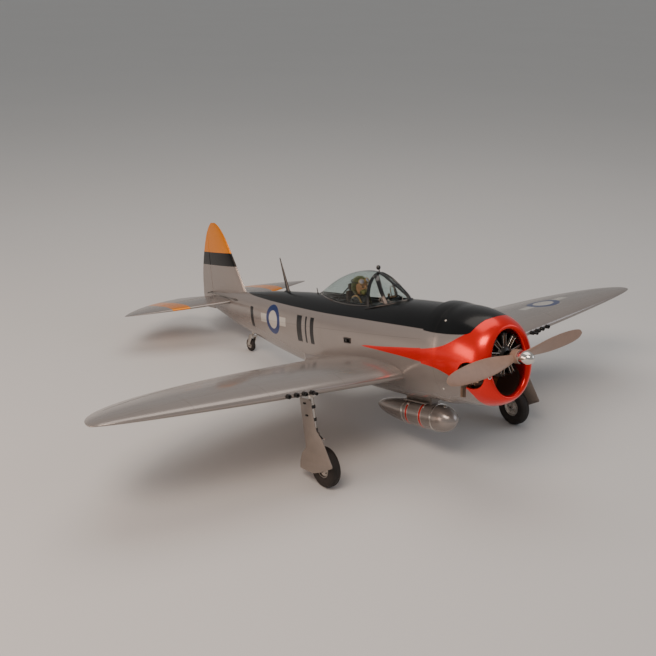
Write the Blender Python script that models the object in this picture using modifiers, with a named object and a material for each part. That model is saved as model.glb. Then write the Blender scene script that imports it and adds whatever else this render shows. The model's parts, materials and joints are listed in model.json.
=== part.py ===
"""Radio-controlled warbird: a low-wing fighter model with retracting gear, built piece by piece.

Units are metres.  The aircraft is drawn level in its own frame: +X to its left wing, +Y towards
the tail, +Z up, with y = 0 at the cowl lip and z = 0 on the propeller's shaft.  One empty then
pitches the whole aircraft onto its three wheels, with the ground at z = 0.
"""
import math

import bmesh
import bpy
from mathutils import Matrix, Vector

# ---------------------------------------------------------------- driving dimensions
GAP = 0.0003                    # clearance between pieces that touch
SKIN = 0.003                    # wall of the fuselage shell
HALF_SPAN = 0.800
PITCH = math.radians(11.842)    # nose-up attitude on the ground
SHAFT_HEIGHT = 0.3333           # propeller shaft's origin above the ground
SHIFT_Y = -0.6433               # puts the middle of the overall length at y = 0

# Fuselage stations: y, half width, top z, bottom z, z of the widest point
FUSELAGE = (
    (0.150, 0.0880, 0.0935, -0.1205, -0.010),
    (0.178, 0.0885, 0.0950, -0.1235, -0.010),
    (0.240, 0.0888, 0.0962, -0.1300, -0.011),
    (0.310, 0.0885, 0.0962, -0.1335, -0.012),
    (0.450, 0.0840, 0.0925, -0.1300, -0.012),
    (0.600, 0.0760, 0.0886, -0.1200, -0.010),
    (0.750, 0.0640, 0.0848, -0.1050, -0.005),
    (0.900, 0.0500, 0.0785, -0.0820, 0.003),
    (1.030, 0.0360, 0.0690, -0.0560, 0.012),
    (1.135, 0.0240, 0.0625, -0.0330, 0.020),
    (1.200, 0.0170, 0.0605, -0.0160, 0.025),
    (1.262, 0.0100, 0.0590, 0.0010, 0.029),
)
CAVITY_END = 1.030
COWL_REAR = 0.178
# Cowl skin as one loop of stations, outside from rear to lip, then inside from lip to rear
COWL = (
    (0.178, 0.0962, 0.1035, -0.1280, -0.010),
    (0.158, 0.0960, 0.1030, -0.1275, -0.010),
    (0.140, 0.0950, 0.1010, -0.1250, -0.010),
    (0.126, 0.0940, 0.0992, -0.1225, -0.011),
    (0.100, 0.0935, 0.0978, -0.1205, -0.012),
    (0.072, 0.0920, 0.0940, -0.1190, -0.013),
    (0.048, 0.0890, 0.0883, -0.1165, -0.014),
    (0.029, 0.0842, 0.0820, -0.1125, -0.015),
    (0.015, 0.0778, 0.0755, -0.1070, -0.016),
    (0.006, 0.0705, 0.0690, -0.1015, -0.017),
    (0.0012, 0.0635, 0.0640, -0.0965, -0.017),
    (0.000, 0.0575, 0.0600, -0.0928, -0.017),
    (0.002, 0.0520, 0.0565, -0.0900, -0.017),
    (0.007, 0.0495, 0.0548, -0.0885, -0.017),
    (0.013, 0.0520, 0.0570, -0.0900, -0.017),
    (0.020, 0.0640, 0.0660, -0.0980, -0.016),
    (0.032, 0.0780, 0.0768, -0.1070, -0.015),
    (0.052, 0.0862, 0.0855, -0.1135, -0.014),
    (0.076, 0.0893, 0.0914, -0.1163, -0.013),
    (0.104, 0.0908, 0.0952, -0.1180, -0.012),
    (0.130, 0.0915, 0.0970, -0.1200, -0.011),
    (0.150, 0.0930, 0.0995, -0.1240, -0.010),
    (0.178, 0.0940, 0.1012, -0.1258, -0.010),
)
COWL_INNER_FIRST = 15           # index of the first station of the inner wall behind the lip

# Wing: half an ellipse for the leading edge and half for the trailing edge
TIP_Y = 0.350
LEAD_SWELL = 0.095
TRAIL_SWELL = 0.325
ROOT_X = 0.0868
DIHEDRAL_SLOPE = 0.0814
WING_Z_AT_X = (-0.075, 0.100)   # the wing plane's z at this x
NOSE_RISE = 0.016               # leading edge above the wing plane at the root
TAIL_DROP = 0.002               # trailing edge below the wing plane at the root
WING_THICKNESS = 0.118
WING_CAMBER = 0.022
CAMBER_POINT = 0.40
EDGE_HALF = 0.0006              # half thickness of a trailing edge
FLAP = {"inner": (0.115, 0.575), "outer": (0.425, 0.548), "upper": 3.0, "lower": 47.0}
AILERON = {"inner": (0.440, 0.545), "outer": (0.738, 0.432), "upper": 32.0, "lower": 32.0}
HINGE_GAP = 0.0012
ROD_REACH = 0.070               # wing pushrod, from its servo to its horn
ROD_RISE = 0.016
TUBE_Y = 0.432
TUBE_Z = -0.056
TUBE_R = 0.0065
TUBE_HALF = 0.240
GUN_X = (0.333, 0.352, 0.371, 0.391)
GUN_MUZZLE_Y = (0.242, 0.252, 0.261, 0.268)

# Tail
TAIL_HINGE_Y = 1.265
STAB_Z = 0.036
STAB_THICKNESS = 0.075
# Stabiliser outline: x, leading edge y, trailing edge y
STAB = (
    (0.0006, 1.127, 1.3740),
    (0.0600, 1.138, 1.3760),
    (0.1200, 1.155, 1.3740),
    (0.1800, 1.177, 1.3560),
    (0.2300, 1.197, 1.3270),
    (0.2650, 1.211, 1.2980),
    (0.2900, 1.221, 1.2730),
    (0.3070, 1.230, 1.2530),
    (0.3150, 1.238, 1.2440),
)
ELEVATOR_X = (0.0165, 0.287)
ELEVATOR_RAKE = 0.45            # slope of the inner edge, clear of the swinging rudder
ELEVATOR_BEVEL = 30.0
# Fin and rudder outline: z, leading edge y, trailing edge y
FIN = (
    (0.002, 1.050, 1.325),
    (0.030, 1.058, 1.337),
    (0.066, 1.074, 1.334),
    (0.110, 1.097, 1.326),
    (0.150, 1.119, 1.313),
    (0.190, 1.142, 1.296),
    (0.222, 1.162, 1.279),
    (0.246, 1.182, 1.262),
    (0.260, 1.200, 1.247),
    (0.267, 1.216, 1.236),
)
FIN_THICKNESS = 0.075
FIN_BASE_Z = 0.050
RUDDER_TOP_Z = 0.2535

# Main gear in the lowered position, left side
PIVOT = Vector((0.3105, 0.303, -0.057))
GEAR_TURN = math.radians(86.03)
GEAR_AXIS = Vector((0.1122, 0.9883, -0.1034)).normalized()
WHEEL = Vector((0.2925, 0.303, -0.2295))
WHEEL_SIDES = 32
WHEEL_R = 0.0465 / math.cos(math.pi / WHEEL_SIDES)
WHEEL_HALF = 0.0130
HUB_R = 0.0235
DOOR_X = 0.3170
DOOR_T = 0.0015
DOOR = (
    (0.337, -0.0680), (0.335, -0.1330), (0.333, -0.1830), (0.352, -0.1990), (0.363, -0.2200),
    (0.367, -0.2370), (0.318, -0.2410), (0.289, -0.2330), (0.236, -0.2130), (0.265, -0.1560),
    (0.285, -0.1370), (0.292, -0.1020), (0.294, -0.0680),
)
STRUT_R = 0.0058
PISTON_R = 0.0038
STRUT_END_Z = -0.150
LINK_TOP = Vector((0.3105, 0.2935, -0.1475))
LINK_KNEE = Vector((0.3105, 0.2730, -0.1560))
LINK_LOW = Vector((0.3105, 0.2935, -0.1645))

# Tail gear
TAIL_POST = Vector((0.0, 1.060, -0.052))
TAIL_WHEEL = Vector((0.0, 1.083, -0.0935))
TAIL_SIDES = 24
TAIL_R = 0.0196 / math.cos(math.pi / TAIL_SIDES)
TAIL_HALF = 0.0060

# Nose
PROP_Y = -0.0240
HUB_HALF = 0.0098
PROP_TILT = math.radians(3.4)   # left blade slightly raised
DRUM_Y = 0.190                  # drop tank's nose
DRUM_LENGTH = 0.286
DRUM_R = 0.0325
DRUM_Z = -0.1780

# Tail pushrods: servo end and horn end
ELEVATOR_ROD = (Vector((0.0200, 0.6000, 0.0030)), Vector((0.0262, 1.2600, 0.0140)))
RUDDER_ROD = (Vector((-0.0200, 0.6000, 0.0030)), Vector((-0.0240, 1.2640, 0.0570)))
DOOR_FRAME = Matrix(((0, 0, 1, 0), (1, 0, 0, 0), (0, 1, 0, 0), (0, 0, 0, 1)))
# Glass stations: y, half width, height of the top, height of the foot
SCREEN_GLASS = (
    (0.3150, 0.0060, 0.0990, 0.070), (0.3300, 0.0215, 0.1075, 0.070),
    (0.3550, 0.0330, 0.1215, 0.070), (0.3800, 0.0395, 0.1350, 0.070),
    (0.4050, 0.0430, 0.1480, 0.070), (0.4220, 0.0445, 0.1540, 0.070),
)
BUBBLE_GLASS = (
    (0.4230, 0.0440, 0.1545, 0.070), (0.4500, 0.0450, 0.1578, 0.070),
    (0.4850, 0.0448, 0.1570, 0.068), (0.5200, 0.0430, 0.1520, 0.066),
    (0.5600, 0.0390, 0.1415, 0.062), (0.6000, 0.0325, 0.1270, 0.060),
    (0.6400, 0.0235, 0.1090, 0.058), (0.6700, 0.0130, 0.0950, 0.056),
    (0.6840, 0.0060, 0.0890, 0.055),
)
# Propeller blade stations: radius, chord, pitch in degrees, thickness
BLADE = (
    (0.0100, 0.0160, 45, 0.0090), (0.0300, 0.0240, 42, 0.0090), (0.0500, 0.0315, 38, 0.0070),
    (0.0800, 0.0385, 31, 0.0052), (0.1150, 0.0400, 25, 0.0042), (0.1500, 0.0360, 20, 0.0034),
    (0.1750, 0.0290, 17, 0.0028), (0.1900, 0.0200, 15, 0.0022), (0.1965, 0.0100, 14, 0.0016),
    (0.1980, 0.0040, 14, 0.0010),
)
# Drop tank outline: share of its length from the nose, radius
DRUM = (
    (0.0, 0.0), (0.008, 0.0085), (0.025, 0.0157), (0.055, 0.0231), (0.095, 0.0288),
    (0.13, 0.0315), (0.17, 0.0325), (0.38, 0.0325), (0.52, 0.0316), (0.64, 0.0292),
    (0.74, 0.0258), (0.83, 0.0214), (0.9, 0.0165), (0.955, 0.0108), (0.985, 0.0059), (1.0, 0.0),
)

AROUND = 22                     # points round a fuselage or cowl section
TURN = Matrix.Rotation(GEAR_TURN, 4, GEAR_AXIS)
STOW = Matrix.Translation(PIVOT) @ TURN @ Matrix.Translation(-PIVOT)
UP = Vector((0.0, 0.0, 1.0))

COLOURS = {
    "silver": ((0.46, 0.46, 0.45), 0.30, 0.60),
    "red": ((0.72, 0.03, 0.01), 0.20, 0.00),
    "black": ((0.012, 0.012, 0.014), 0.25, 0.00),
    "orange": ((0.85, 0.33, 0.01), 0.25, 0.00),
    "dark": ((0.05, 0.045, 0.04), 0.50, 0.30),
    "steel": ((0.55, 0.54, 0.52), 0.28, 1.00),
    "alloy": ((0.68, 0.66, 0.63), 0.25, 1.00),
    "rubber": ((0.018, 0.016, 0.015), 0.75, 0.00),
    "glass": ((0.75, 0.80, 0.80), 0.05, 0.00),
    "taupe": ((0.36, 0.25, 0.18), 0.45, 0.00),
    "olive": ((0.16, 0.15, 0.03), 0.65, 0.00),
    "ply": ((0.52, 0.38, 0.22), 0.70, 0.00),
    "tank": ((0.75, 0.72, 0.62), 0.40, 0.00),
    "pack": ((0.05, 0.10, 0.32), 0.45, 0.00),
    "plastic": ((0.03, 0.03, 0.03), 0.45, 0.00),
}


# ---------------------------------------------------------------- scene and object helpers
def clear_scene():
    """Remove every object that the scene holds."""
    for obj in list(bpy.data.objects):
        bpy.data.objects.remove(obj, do_unlink=True)


def new_collection(name):
    """Make a collection and link it to the scene."""
    collection = bpy.data.collections.new(name)
    bpy.context.scene.collection.children.link(collection)
    return collection


def make_root():
    """The empty that pitches the level aircraft onto its wheels."""
    root = bpy.data.objects.new("attitude", None)
    root.rotation_euler = (-PITCH, 0.0, 0.0)
    root.location = (0.0, SHIFT_Y, SHAFT_HEIGHT)
    PARTS.objects.link(root)
    return root


clear_scene()
PARTS = new_collection("rc_warbird")
CUTTERS = new_collection("cutters")
ROOT = make_root()
bpy.context.view_layer.update()


def material(kind):
    """One Principled material of a named kind, made on first use."""
    found = bpy.data.materials.get(kind)
    if found:
        return found
    colour, roughness, metallic = COLOURS[kind]
    made = bpy.data.materials.new(kind)
    made.use_nodes = True
    shader = made.node_tree.nodes["Principled BSDF"]
    shader.inputs["Base Color"].default_value = (*colour, 1.0)
    shader.inputs["Roughness"].default_value = roughness
    shader.inputs["Metallic"].default_value = metallic
    return made


def add_object(name, mesh, kind=None):
    """Add a mesh as a part with a material, or as a cutter when it has none."""
    obj = bpy.data.objects.new(name, mesh)
    obj.parent = ROOT
    if kind:
        PARTS.objects.link(obj)
        mesh.materials.append(material(kind))
        mesh.shade_smooth()
        mesh.set_sharp_from_angle(angle=math.radians(35.0))
    else:
        CUTTERS.objects.link(obj)
        obj.hide_render = True
        obj.display_type = "WIRE"
    return obj


def mesh_from(bm, name):
    """Turn a bmesh into a mesh with its faces pointing outwards."""
    bmesh.ops.recalc_face_normals(bm, faces=bm.faces)
    if bm.calc_volume(signed=True) < 0:
        bmesh.ops.reverse_faces(bm, faces=bm.faces)
    mesh = bpy.data.meshes.new(name)
    bm.to_mesh(mesh)
    bm.free()
    return mesh


def boolean(obj, other, operation):
    """Add one exact Boolean of another object."""
    modifier = obj.modifiers.new(f"{operation.lower()}_{other.name}", "BOOLEAN")
    modifier.operation = operation
    modifier.solver = "EXACT"
    modifier.object = other
    return obj


def cut(obj, *others):
    """Cut each of the others out of the object."""
    for other in others:
        boolean(obj, other, "DIFFERENCE")
    return obj


def add(obj, *others):
    """Join each of the others to the object as one body."""
    for other in others:
        boolean(obj, other, "UNION")
    return obj


def keep(obj, *others):
    """Keep only what the object shares with each of the others."""
    for other in others:
        boolean(obj, other, "INTERSECT")
    return obj


def set_origin(obj, point):
    """Move an object's origin to a point, on its joint's axis, and leave its shape in place."""
    obj.data.transform(Matrix.Translation(-Vector(point)))
    obj.location = point
    return obj


def mirrored(side, point):
    """A left-hand point, or its mirror image for side -1."""
    return Vector((side * point[0], point[1], point[2]))


# ---------------------------------------------------------------- shape helpers
def loft(name, rings, kind=None, loop=False):
    """Skin a row of rings with equal point counts; loop joins the last ring to the first."""
    bm = bmesh.new()
    rows = [[bm.verts.new(point) for point in ring] for ring in rings]
    count = len(rows[0])
    pairs = list(zip(rows, rows[1:]))
    if loop:
        pairs.append((rows[-1], rows[0]))
    for first, second in pairs:
        for i in range(count):
            j = (i + 1) % count
            bm.faces.new((first[i], first[j], second[j], second[i]))
    if not loop:
        bm.faces.new(rows[0])
        bm.faces.new(rows[-1])
    return add_object(name, mesh_from(bm, name), kind)


def box(name, low, high, kind=None):
    """A box between two corners."""
    bm = bmesh.new()
    bmesh.ops.create_cube(bm, size=1.0)
    size = Vector(high) - Vector(low)
    middle = (Vector(high) + Vector(low)) / 2
    bmesh.ops.scale(bm, vec=size, verts=bm.verts)
    bmesh.ops.translate(bm, vec=middle, verts=bm.verts)
    return add_object(name, mesh_from(bm, name), kind)


def rod(name, start, end, radius, kind=None, sides=16, end_radius=None):
    """A round bar, or a cone, from one point to another."""
    start = Vector(start)
    end = Vector(end)
    bm = bmesh.new()
    second = radius if end_radius is None else end_radius
    bmesh.ops.create_cone(bm, cap_ends=True, segments=sides, radius1=radius, radius2=second,
                          depth=(end - start).length)
    turn = UP.rotation_difference((end - start).normalized()).to_matrix().to_4x4()
    bm.transform(Matrix.Translation((start + end) / 2) @ turn)
    return add_object(name, mesh_from(bm, name), kind)


def ball(name, centre, radii, kind=None, around=16, rings=10):
    """An ellipsoid."""
    bm = bmesh.new()
    bmesh.ops.create_uvsphere(bm, u_segments=around, v_segments=rings, radius=1.0)
    bmesh.ops.scale(bm, vec=radii, verts=bm.verts)
    bmesh.ops.translate(bm, vec=centre, verts=bm.verts)
    return add_object(name, mesh_from(bm, name), kind)


def turned(name, profile, origin, axis, sides, kind=None, ring=False, start=0.0):
    """Turn a profile of (radius, distance along the axis) round an axis with a Screw modifier."""
    bm = bmesh.new()
    verts = [bm.verts.new((radius, 0.0, along)) for radius, along in profile]
    for first, second in zip(verts, verts[1:]):
        bm.edges.new((first, second))
    if ring:
        bm.edges.new((verts[-1], verts[0]))
    mesh = bpy.data.meshes.new(name)
    bm.to_mesh(mesh)
    bm.free()
    obj = add_object(name, mesh, kind)
    screw = obj.modifiers.new("turn", "SCREW")
    screw.steps = sides
    screw.render_steps = sides
    screw.use_merge_vertices = True
    screw.merge_threshold = 0.00001
    screw.use_smooth_shade = True
    turn = UP.rotation_difference(Vector(axis).normalized())
    obj.rotation_mode = "QUATERNION"
    obj.rotation_quaternion = turn @ Matrix.Rotation(start, 3, "Z").to_quaternion()
    obj.location = origin
    return obj


def plate(name, outline, thickness, frame, kind=None):
    """Extrude a flat outline as a filled 2D curve, made a mesh and placed by a matrix."""
    curve = bpy.data.curves.new(name, "CURVE")
    curve.dimensions = "2D"
    curve.fill_mode = "BOTH"
    curve.extrude = thickness / 2
    spline = curve.splines.new("POLY")
    spline.points.add(len(outline) - 1)
    spline.use_cyclic_u = True
    for point, (u, v) in zip(spline.points, outline):
        point.co = (u, v, 0.0, 1.0)
    holder = bpy.data.objects.new(name + "_outline", curve)
    CUTTERS.objects.link(holder)
    bpy.context.view_layer.update()
    depsgraph = bpy.context.evaluated_depsgraph_get()
    mesh = bpy.data.meshes.new_from_object(holder.evaluated_get(depsgraph))
    bpy.data.objects.remove(holder)
    bm = bmesh.new()
    bm.from_mesh(mesh)
    bmesh.ops.remove_doubles(bm, verts=bm.verts, dist=0.00001)
    bm.transform(frame)
    return add_object(name, mesh_from(bm, name), kind)


def wire(name, points, radius, kind=None, sides=2):
    """A bent bar through points, as a curve with filled caps made into a mesh."""
    curve = bpy.data.curves.new(name, "CURVE")
    curve.dimensions = "3D"
    curve.bevel_depth = radius
    curve.bevel_resolution = sides
    curve.use_fill_caps = True
    spline = curve.splines.new("POLY")
    spline.points.add(len(points) - 1)
    for point, place in zip(spline.points, points):
        point.co = (*place, 1.0)
    holder = bpy.data.objects.new(name + "_path", curve)
    CUTTERS.objects.link(holder)
    bpy.context.view_layer.update()
    depsgraph = bpy.context.evaluated_depsgraph_get()
    mesh = bpy.data.meshes.new_from_object(holder.evaluated_get(depsgraph))
    bpy.data.objects.remove(holder)
    bm = bmesh.new()
    bm.from_mesh(mesh)
    bmesh.ops.remove_doubles(bm, verts=bm.verts, dist=0.00001)
    return add_object(name, mesh_from(bm, name), kind)


def frame_at(origin, across, along):
    """A placing whose local X runs across and whose local Y runs along."""
    first = Vector(across).normalized()
    third = first.cross(Vector(along)).normalized()
    second = third.cross(first)
    turn = Matrix((first, second, third)).transposed().to_4x4()
    return Matrix.Translation(Vector(origin)) @ turn


def spline(table, t):
    """Smooth values of a table at t: cubic pieces with finite-difference tangents."""
    last = len(table) - 1
    i = 0
    while i < last - 1 and t > table[i + 1][0]:
        i += 1
    before = table[max(i - 1, 0)]
    start = table[i]
    end = table[i + 1]
    after = table[min(i + 2, last)]
    width = end[0] - start[0]
    u = min(max((t - start[0]) / width, 0.0), 1.0)
    values = []
    for k in range(1, len(start)):
        slope_a = (end[k] - before[k]) / (end[0] - before[0])
        slope_b = (after[k] - start[k]) / (after[0] - start[0])
        h00 = 2 * u ** 3 - 3 * u ** 2 + 1
        h10 = u ** 3 - 2 * u ** 2 + u
        h01 = -2 * u ** 3 + 3 * u ** 2
        h11 = u ** 3 - u ** 2
        values.append(h00 * start[k] + h10 * width * slope_a + h01 * end[k]
                      + h11 * width * slope_b)
    return values


def oval(y, half, top, bottom, middle, grow=0.0, power=2.15):
    """One body section: a superellipse with unlike upper and lower halves."""
    ring = []
    for k in range(AROUND):
        angle = 2 * math.pi * k / AROUND
        across = math.copysign(abs(math.cos(angle)) ** (2 / power), math.cos(angle))
        rise = math.copysign(abs(math.sin(angle)) ** (2 / power), math.sin(angle))
        height = (top - middle if rise > 0 else middle - bottom) + grow
        ring.append(Vector(((half + grow) * across, y, middle + height * rise)))
    return ring


def body_rings(start, end, grow=0.0, steps=20):
    """Fuselage sections from one station to another, grown or shrunk evenly."""
    rings = []
    for k in range(steps + 1):
        y = start + (end - start) * k / steps
        rings.append(oval(y, *spline(FUSELAGE, y), grow=grow))
    return rings


def naca_ring(thickness, camber, points):
    """Unit airfoil as (chord fraction, height fraction, side) from the tail over the nose back."""
    ring = []
    for k in range(2 * points + 1):
        angle = math.pi * k / points
        u = 0.5 * (1 + math.cos(angle))
        side = 0 if k == points else math.copysign(1, points - k)
        half = 5 * thickness * (0.2969 * math.sqrt(u) - 0.1260 * u - 0.3516 * u ** 2
                                + 0.2843 * u ** 3 - 0.1036 * u ** 4)
        if u < CAMBER_POINT:
            mean = camber / CAMBER_POINT ** 2 * (2 * CAMBER_POINT * u - u ** 2)
        else:
            mean = camber / (1 - CAMBER_POINT) ** 2
            mean *= 1 - 2 * CAMBER_POINT + 2 * CAMBER_POINT * u - u ** 2
        ring.append((u, mean, side * half, side))
    return ring


# ---------------------------------------------------------------- wing
def wing_plan(x):
    """Leading edge y, chord and edge heights of the wing at a distance from the centre."""
    swell = math.sqrt(max(1 - (x / HALF_SPAN) ** 2, 0.0))
    plane = WING_Z_AT_X[0] + DIHEDRAL_SLOPE * (x - WING_Z_AT_X[1])
    lead = TIP_Y - LEAD_SWELL * swell
    chord = (LEAD_SWELL + TRAIL_SWELL) * swell
    return lead, chord, plane + NOSE_RISE * swell, plane - TAIL_DROP * swell


def wing_ring(x, side, points=11):
    """The wing's section at a distance from the centre."""
    lead, chord, nose_z, tail_z = wing_plan(x)
    ring = []
    for u, mean, half, face in naca_ring(WING_THICKNESS, WING_CAMBER, points):
        edge = face * EDGE_HALF * u
        z = nose_z + (tail_z - nose_z) * u + (mean + half) * chord + edge
        ring.append(Vector((side * x, lead + chord * u, z)))
    return ring


def wing_middle_z(x, y):
    """Height of the wing's mean surface."""
    lead, chord, nose_z, tail_z = wing_plan(x)
    u = (y - lead) / chord
    rest = (1 - CAMBER_POINT) ** 2
    mean = WING_CAMBER / rest * (1 - 2 * CAMBER_POINT + 2 * CAMBER_POINT * u - u * u) * chord
    return nose_z + (tail_z - nose_z) * u + mean


def wing_loft(name, side, kind=None, first=ROOT_X):
    """The whole uncut wing panel."""
    stations = [first, 0.17, 0.26, 0.35, 0.44, 0.52, 0.59, 0.65, 0.70, 0.74, 0.768, 0.786,
                0.7955, 0.7992]
    return loft(name, [wing_ring(x, side) for x in stations], kind)


def hinge_points(surface):
    """A wing surface's hinge line, from its inner to its outer end, on the left side."""
    ends = []
    for x, y in (surface["inner"], surface["outer"]):
        ends.append(Vector((x, y, wing_middle_z(x, y))))
    return ends


def hinge_prism(name, start, end, upper, lower, side, trim, front=0.0):
    """A prism behind a hinge line, with bevelled front faces that let the surface swing."""
    height = 0.030
    reach = 0.160
    outline = [(front, 0.0), (front + height * math.tan(math.radians(upper)), height),
               (reach, height), (reach, -height),
               (front + height * math.tan(math.radians(lower)), -height)]
    line = (end - start).normalized()
    rings = []
    for point in (start + line * trim, end - line * trim):
        back = Vector((0.0, 1.0, 0.0))
        back = (back - line * back.dot(line)).normalized()
        rise = line.cross(back)
        if rise.z < 0:
            rise.negate()
        rings.append([mirrored(side, point + back * u + rise * v) for u, v in outline])
    return loft(name, rings)


def square_to(start, end):
    """Directions in plan along a hinge line, outwards, and square to it, towards the tail."""
    along = Vector((end.x - start.x, end.y - start.y, 0.0)).normalized()
    return along, Vector((-along.y, along.x, 0.0))


def surface_horn(name, side, start, end, drop):
    """A control horn under a wing surface, a thin plate with its hole below the hinge."""
    point = start.lerp(end, 0.5)
    back = square_to(start, end)[1]
    outline = [(0.010, -0.004), (0.030, -0.004), (0.004, -drop - 0.003), (-0.004, -drop - 0.002)]
    frame = frame_at(mirrored(side, point), mirrored(side, back), UP)
    horn = plate(name, outline, 0.0016, frame)
    return horn, mirrored(side, point - UP * drop)


def build_wing(side, word):
    """One wing panel with its flap, aileron, gun strip and linkages."""
    wing = wing_loft(f"wing_{word}", side, "silver")
    for label, surface, drop in (("flap", FLAP, 0.026), ("aileron", AILERON, 0.022)):
        start, end = hinge_points(surface)
        bay = hinge_prism(f"{label}_bay_{word}", start, end, 0.0, 0.0, side, 0.0, -HINGE_GAP)
        cut(wing, bay)
        moving = wing_loft(f"{label}_{word}", side, "silver")
        prism = hinge_prism(f"{label}_prism_{word}", start, end, surface["upper"],
                            surface["lower"], side, HINGE_GAP)
        keep(moving, prism)
        horn, low = surface_horn(f"{label}_horn_{word}", side, start, end, drop)
        add(moving, horn)
        set_origin(moving, mirrored(side, start))
        along, back = square_to(start, end)
        front = low - mirrored(side, back) * ROD_REACH + UP * ROD_RISE
        aside = mirrored(side, along) * 0.0030
        rod(f"{label}_pushrod_{word}", front + aside, low + aside, 0.0012, "steel", 10)
        pocket = box(f"{label}_pocket_{word}", front + Vector((-0.020, -0.026, -0.004)),
                     front + Vector((0.020, 0.028, 0.009)))
        pocket_floor = box(f"{label}_slot_{word}", front + Vector((-0.016, -0.012, -0.030)),
                           front + Vector((0.016, 0.030, 0.0)))
        cut(wing, pocket_floor, pocket)
    low_x, high_x = GUN_X[0] - 0.010, GUN_X[-1] + 0.010
    corner = (min(side * low_x, side * high_x), 0.20, -0.10)
    far = (max(side * low_x, side * high_x), 0.2870, 0.02)
    strip_box = box(f"gun_box_{word}", corner, far)
    grown = Vector((GAP, GAP, GAP))
    bay = box(f"gun_bay_{word}", Vector(corner) - grown, Vector(far) + grown)
    cut(wing, bay)
    guns = wing_loft(f"gun_barrels_{word}", side, "plastic")
    keep(guns, strip_box)
    for index, (x, muzzle) in enumerate(zip(GUN_X, GUN_MUZZLE_Y)):
        lead = wing_plan(x)[0]
        z = wing_plan(x)[2] - 0.0015
        place = mirrored(side, (x, 0.0, z))
        sleeve = rod(f"gun_sleeve_{word}_{index}", place + Vector((0, lead - 0.008, 0)),
                     place + Vector((0, lead + 0.012, 0)), 0.0042, None, 8)
        barrel = rod(f"gun_barrel_{word}_{index}", place + Vector((0, muzzle, 0)),
                     place + Vector((0, lead + 0.010, 0)), 0.0026, None, 8)
        add(guns, sleeve, barrel)
    tube = rod(f"tube_bore_{word}", (side * 0.05, TUBE_Y, TUBE_Z),
               (side * (TUBE_HALF + 0.001), TUBE_Y, TUBE_Z), TUBE_R + GAP, None, 20)
    cut(wing, tube, *gear_cutters(side, word))
    return wing


# ---------------------------------------------------------------- main gear
def stowed_box(name, side, low, high):
    """A box drawn beside the lowered leg, then swung to the stowed position to cut the wing."""
    made = box(name, low, high)
    made.data.transform(STOW)
    if side < 0:
        made.data.transform(Matrix.Diagonal((-1.0, 1.0, 1.0, 1.0)))
        made.data.flip_normals()
    return made


def gear_cutters(side, word):
    """The wheel well, leg channel, link pocket, pivot chamber and door recess."""
    outside = 0.060
    well = rod(f"well_{word}", (WHEEL.x - WHEEL_HALF - 0.003, WHEEL.y, WHEEL.z),
               (WHEEL.x + outside, WHEEL.y, WHEEL.z), 0.0505, None, 36)
    well.data.transform(STOW)
    if side < 0:
        well.data.transform(Matrix.Diagonal((-1.0, 1.0, 1.0, 1.0)))
        well.data.flip_normals()
    leg_low = (PIVOT.x - 0.0095, PIVOT.y - 0.0125, WHEEL.z + 0.020)
    leg_high = (PIVOT.x + outside, PIVOT.y + 0.0125, PIVOT.z + 0.004)
    channel = stowed_box(f"channel_{word}", side, leg_low, leg_high)
    link_low = (PIVOT.x - 0.0080, PIVOT.y - 0.0350, -0.180)
    link_high = (PIVOT.x + outside, PIVOT.y, -0.136)
    pocket = stowed_box(f"link_pocket_{word}", side, link_low, link_high)
    axis = mirrored(side, GEAR_AXIS)
    middle = mirrored(side, PIVOT)
    chamber = rod(f"chamber_{word}", middle - axis * 0.0150, middle + axis * 0.0150, 0.0135,
                  None, 20)
    grown = door_outline(0.0022)
    recess = plate(f"door_recess_{word}", grown, 0.0160,
                   Matrix.Translation((DOOR_X - 0.0010 + 0.0080, 0, 0)) @ DOOR_FRAME)
    recess.data.transform(STOW)
    if side < 0:
        recess.data.transform(Matrix.Diagonal((-1.0, 1.0, 1.0, 1.0)))
        recess.data.flip_normals()
    return well, channel, pocket, chamber, recess


def door_outline(grow):
    """The door's outline, moved outwards from its middle by about the given amount."""
    middle_y = sum(point[0] for point in DOOR) / len(DOOR)
    middle_z = sum(point[1] for point in DOOR) / len(DOOR)
    outline = []
    for y, z in DOOR:
        away = Vector((y - middle_y, z - middle_z))
        moved = away + away.normalized() * grow * 1.4
        outline.append((middle_y + moved.x, middle_z + moved.y))
    return outline


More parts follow.
